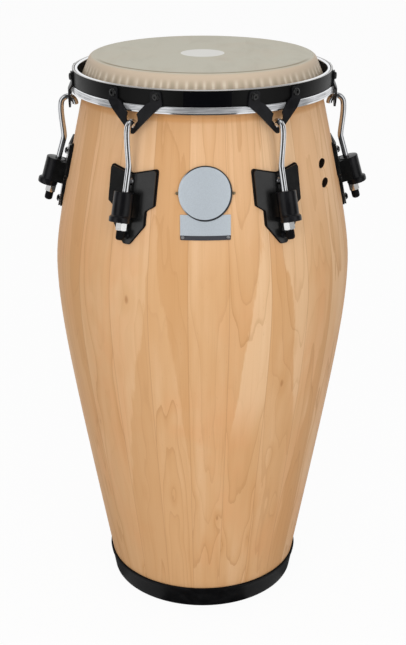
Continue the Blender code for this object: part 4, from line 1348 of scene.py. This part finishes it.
def makeBadgeFinish(name, disc):
    silver = Finish(name, IOR=1.5, Specular_IOR_Level=0.4)
    step = silver.step
    vector, x, y, z = silver.place()
    speck = silver.noise(vector, 900.0, 2.0, 0.7)
    brushed = silver.streaks(x * 60.0, y * 60.0, z * 1600.0, 2.0, 0.6)
    tone = silver.mix(step(speck, 0.35, 0.7) * 0.35, badge["silver"], badge["speck"])
    if disc:
        rise = z - badgeZ
        reach = silver.maths("SQRT", x * x + rise * rise)
        # painted shadow: the dark line grows towards the lower right and fades at the left, where the edge
        # is lit
        ring = badge["ring"] + step(x - rise, 0.0, badge["radius"] * 1.2) * badge["ringGrowth"]
        line = step(reach + ring, badge["radius"] - 0.15 * mm, badge["radius"] + 0.15 * mm)
        mask = line * step(x, -badge["radius"] * 0.9, -badge["radius"] * 0.6)
    else:
        edge = labelBottom + badge["strip"]
        mask = step(z, edge + 0.12 * mm, edge - 0.12 * mm)
    silver.put("Base Color", silver.mix(mask, tone, badge["dark"] if disc else badge["stripColour"]))
    silver.put("Metallic", 0.25 - mask * 0.25)
    silver.put("Roughness", brushed * 0.14 + 0.36)
    silver.bump(speck * 0.5 + brushed, 0.02 * mm)
    return silver


def buildDisc():
    radius = badge["radius"]
    thick = badge["thickness"]
    steps = spaced(0.0, radius, 8)[:-1]
    profile = [(reach, thick) for reach in steps]
    profile += [(radius - 0.5 * mm, thick), (radius - 0.15 * mm, thick - 0.12 * mm),
                (radius, thick - 0.4 * mm), (radius, 0)]
    profile += [(reach, 0) for reach in reversed(steps)]
    disc = revolve(profile, 144)
    onShell(disc, badgeZ, 2 * gap + thick)
    coated(disc, makeBadgeFinish("badge silver", True))
    addPiece("badgeRound", disc, "shell", ["badge_disc"])


def buildLabel():
    half = badge["labelHeight"] / 2
    wide = badge["labelWidth"]
    corners = [(x, z, 1 * mm) for x, z in ((wide, half), (wide, -half), (-wide, -half), (-wide, half))]
    outline = roundCorners(corners, 5)
    plate = loft([[(x, z, depth) for x, z in outline] for depth in (badge["thickness"], 0)])
    work = bmesh.new()
    work.from_mesh(worked(plate, ("TRIANGULATE", {})))
    # cut into cells, so that it can bend
    planes = [((wide * k / 10, 0, 0), (1, 0, 0)) for k in range(-9, 10)]
    planes += [((0, half * k / 3, 0), (0, 1, 0)) for k in range(-2, 3)]
    for place, normal in planes:
        parts = work.verts[:] + work.edges[:] + work.faces[:]
        bmesh.ops.bisect_plane(work, geom=parts, plane_co=place, plane_no=normal)
    plate = meshFrom(work)
    onShell(plate, (labelTop + labelBottom) / 2, gap)
    coated(plate, makeBadgeFinish("label silver", False))
    addPiece("badgeLabel", plate, "shell", ["badge_plate"])


def buildNails():
    head = badge["nailHead"]
    high = badge["nailHeight"]
    shaft = badge["nailRadius"]
    labelZ = labelBottom + badge["nailMargin"]
    discSeat = 3 * gap + 2 * badge["thickness"]
    labelSeat = 2 * gap + badge["thickness"]
    discTurn = degrees((badge["radius"] + shaft + 0.35 * mm + gap) / shellRadius(badgeZ))
    labelTurn = degrees((badge["labelWidth"] - badge["nailMargin"]) / shellRadius(labelZ))
    places = [(-discTurn, badgeZ, discSeat), (discTurn, badgeZ, discSeat),
              (-labelTurn, labelZ, labelSeat), (labelTurn, labelZ, labelSeat)]
    profile = [(0, high)] + arc((head * 0.3, high - head * 0.7), head * 0.7, 5, 60, 5)
    length = badge["nailLength"]
    profile += [(head, high * 0.2), (head, 0), (shaft, 0), (shaft, 1 * mm - length), (0, -length)]
    for i, (azimuth, z, seat) in enumerate(places):
        mesh = stoodRound(revolve(profile, 28), shellRadius(z) + seat, azimuth, z)
        coated(mesh, brassFinish if i < 2 else nailFinish)
        addPiece(f"nailRound_{i + 1}", mesh, "shell", [f"badge_nail_{i + 1}"])


buildDisc()
buildLabel()
buildNails()
print("conga: badge built")


# Floor, light and camera

studio = {
    "floorWhite": 0.8,
    "floorShow": 0.95,          # share of the floor that is plain white to the camera
    "worldLight": 0.51,
    "wedge": 28.0,              # half width of the dark place in front, which gloss shows, in degrees
    "boxEnd": 63.0,             # the two bright boxes beside it end here
    "wallStart": 102.0,         # and the bright wall behind starts here
    "floorGloss": (0.07, 0.95, 0.35),   # how bright gloss sees the front, the boxes and the sides
    "skyGloss": (0.04, 1.0, 0.1),
}
lamps = {                       # place, size, power and aim
    "keyLeft": ((-1.1, -2.2, 1.25), (1.2, 1.8), 19.8, (0, 0, 0.7)),
    "fillRight": ((1.1, -2.2, 1.15), (1.2, 1.8), 18.2, (0, 0, 0.7)),
    "topSoft": ((0.0, -0.2, 2.6), (2.0, 2.0), 10.8, (0, 0, 0.45)),
}
photoCamera = {
    "turn": -1.1,               # degrees round the drum
    "distance": 1.603,
    "height": 1.035,
    "dip": 22.10,               # degrees below level
    "lens": 68.24,
    "shift": 0.0007,
}


def glossRoom(sheet, angle, dark, bright, side):
    # what gloss sees level with it: dark in front, a bright box on each side, then a grey and a white wall
    wedge = radians(studio["wedge"])
    end = radians(studio["boxEnd"])
    wall = radians(studio["wallStart"])
    soft = radians(3.0)
    level = sheet.step(angle, wedge - soft * 0.5, wedge + soft * 0.5, dark, bright)
    level = level + sheet.step(angle, end - soft, end + soft, 0.0, side - bright)
    return level + sheet.step(angle, wall - soft, wall + soft, 0.0, bright - side)


def buildFloor():
    work = bmesh.new()
    bmesh.ops.create_grid(work, x_segments=1, y_segments=1, size=30.0)
    mesh = meshFrom(work)
    pale = Finish("pale floor", Roughness=0.9, Base_Color=(studio["floorWhite"],) * 3)
    x, y = pale.place()[1:3]
    path = pale.outputs("LightPath")
    away = pale.maths("ABSOLUTE", pale.azimuth(x, y))
    gloss = path["Is Glossy Ray"]
    reflected = pale.maths("MAXIMUM", gloss, path["Is Transmission Ray"])
    share = pale.maths("MAXIMUM", path["Is Camera Ray"] * studio["floorShow"], reflected)
    strength = gloss * (glossRoom(pale, away, *studio["floorGloss"]) - 1.0) + 1.0
    glow = pale.node("Emission", None, {"Color": (1.0, 1.0, 1.0), "Strength": strength})
    matt = Wire(pale, pale.shader.outputs[0])
    shown = pale.node("MixShader", None, {0: share, 1: matt, 2: glow})
    pale.feed(pale.tree.nodes["Material Output"].inputs["Surface"], shown)
    newObject("studioFloor", coated(mesh, pale))


def buildWorld():
    world = bpy.data.worlds.new("studio")
    bpy.context.scene.world = world
    world.use_nodes = True
    world.cycles.sampling_method = "NONE"
    world.node_tree.nodes.clear()
    sky = NodeSheet(world.node_tree)

    def background(strength):
        return sky.node("Background", None, {"Color": (1.0, 1.0, 1.0), "Strength": strength})

    path = sky.outputs("LightPath")
    x, y, z = sky.place("Generated")[1:]
    away = sky.maths("ABSOLUTE", sky.azimuth(x, y))
    ceiling = sky.step(z, 0.58, 0.70)
    # the dark place in front reaches up to the ceiling, which is bright only straight above
    over = sky.step(away, radians(studio["wedge"]), radians(studio["wedge"] + 12), 0.04, 0.35)
    over = over + sky.step(z, 0.93, 0.97) * 0.6
    room = glossRoom(sky, away, *studio["skyGloss"]) * (1.0 - ceiling) + ceiling * over
    seen = sky.maths("MAXIMUM", path["Is Camera Ray"], path["Is Transmission Ray"])
    light = sky.node("MixShader", None, {0: seen, 1: background(studio["worldLight"]), 2: background(1.0)})
    surface = sky.node("MixShader", None, {0: path["Is Glossy Ray"], 1: light, 2: background(room)})
    sky.node("OutputWorld", None, {"Surface": surface})


def addLamp(name, place, size, power, aim):
    lamp = bpy.data.lights.new(name, "AREA")
    lamp.shape = "RECTANGLE"
    lamp.size = size[0]
    lamp.size_y = size[1]
    lamp.energy = power
    item = newObject(name, lamp)
    item.location = place
    item.rotation_euler = (Vector(aim) - Vector(place)).to_track_quat("-Z", "Y").to_euler()
    item.visible_glossy = False


def addCamera():
    turn = radians(photoCamera["turn"])
    distance = photoCamera["distance"]
    camera = newObject("photoCamera", bpy.data.cameras.new("photoCamera"))
    camera.location = (distance * sin(turn), -distance * cos(turn), photoCamera["height"])
    camera.rotation_euler = (radians(90 - photoCamera["dip"]), 0, turn)
    camera.data.sensor_width = 36
    camera.data.lens = photoCamera["lens"]
    camera.data.shift_x = photoCamera["shift"]
    camera.data.clip_start = 0.05
    bpy.context.scene.camera = camera


buildFloor()
buildWorld()
for lampName, settings in lamps.items():
    addLamp(lampName, *settings)
addCamera()
bpy.context.scene.view_settings.view_transform = "Standard"
print("conga: stage set")
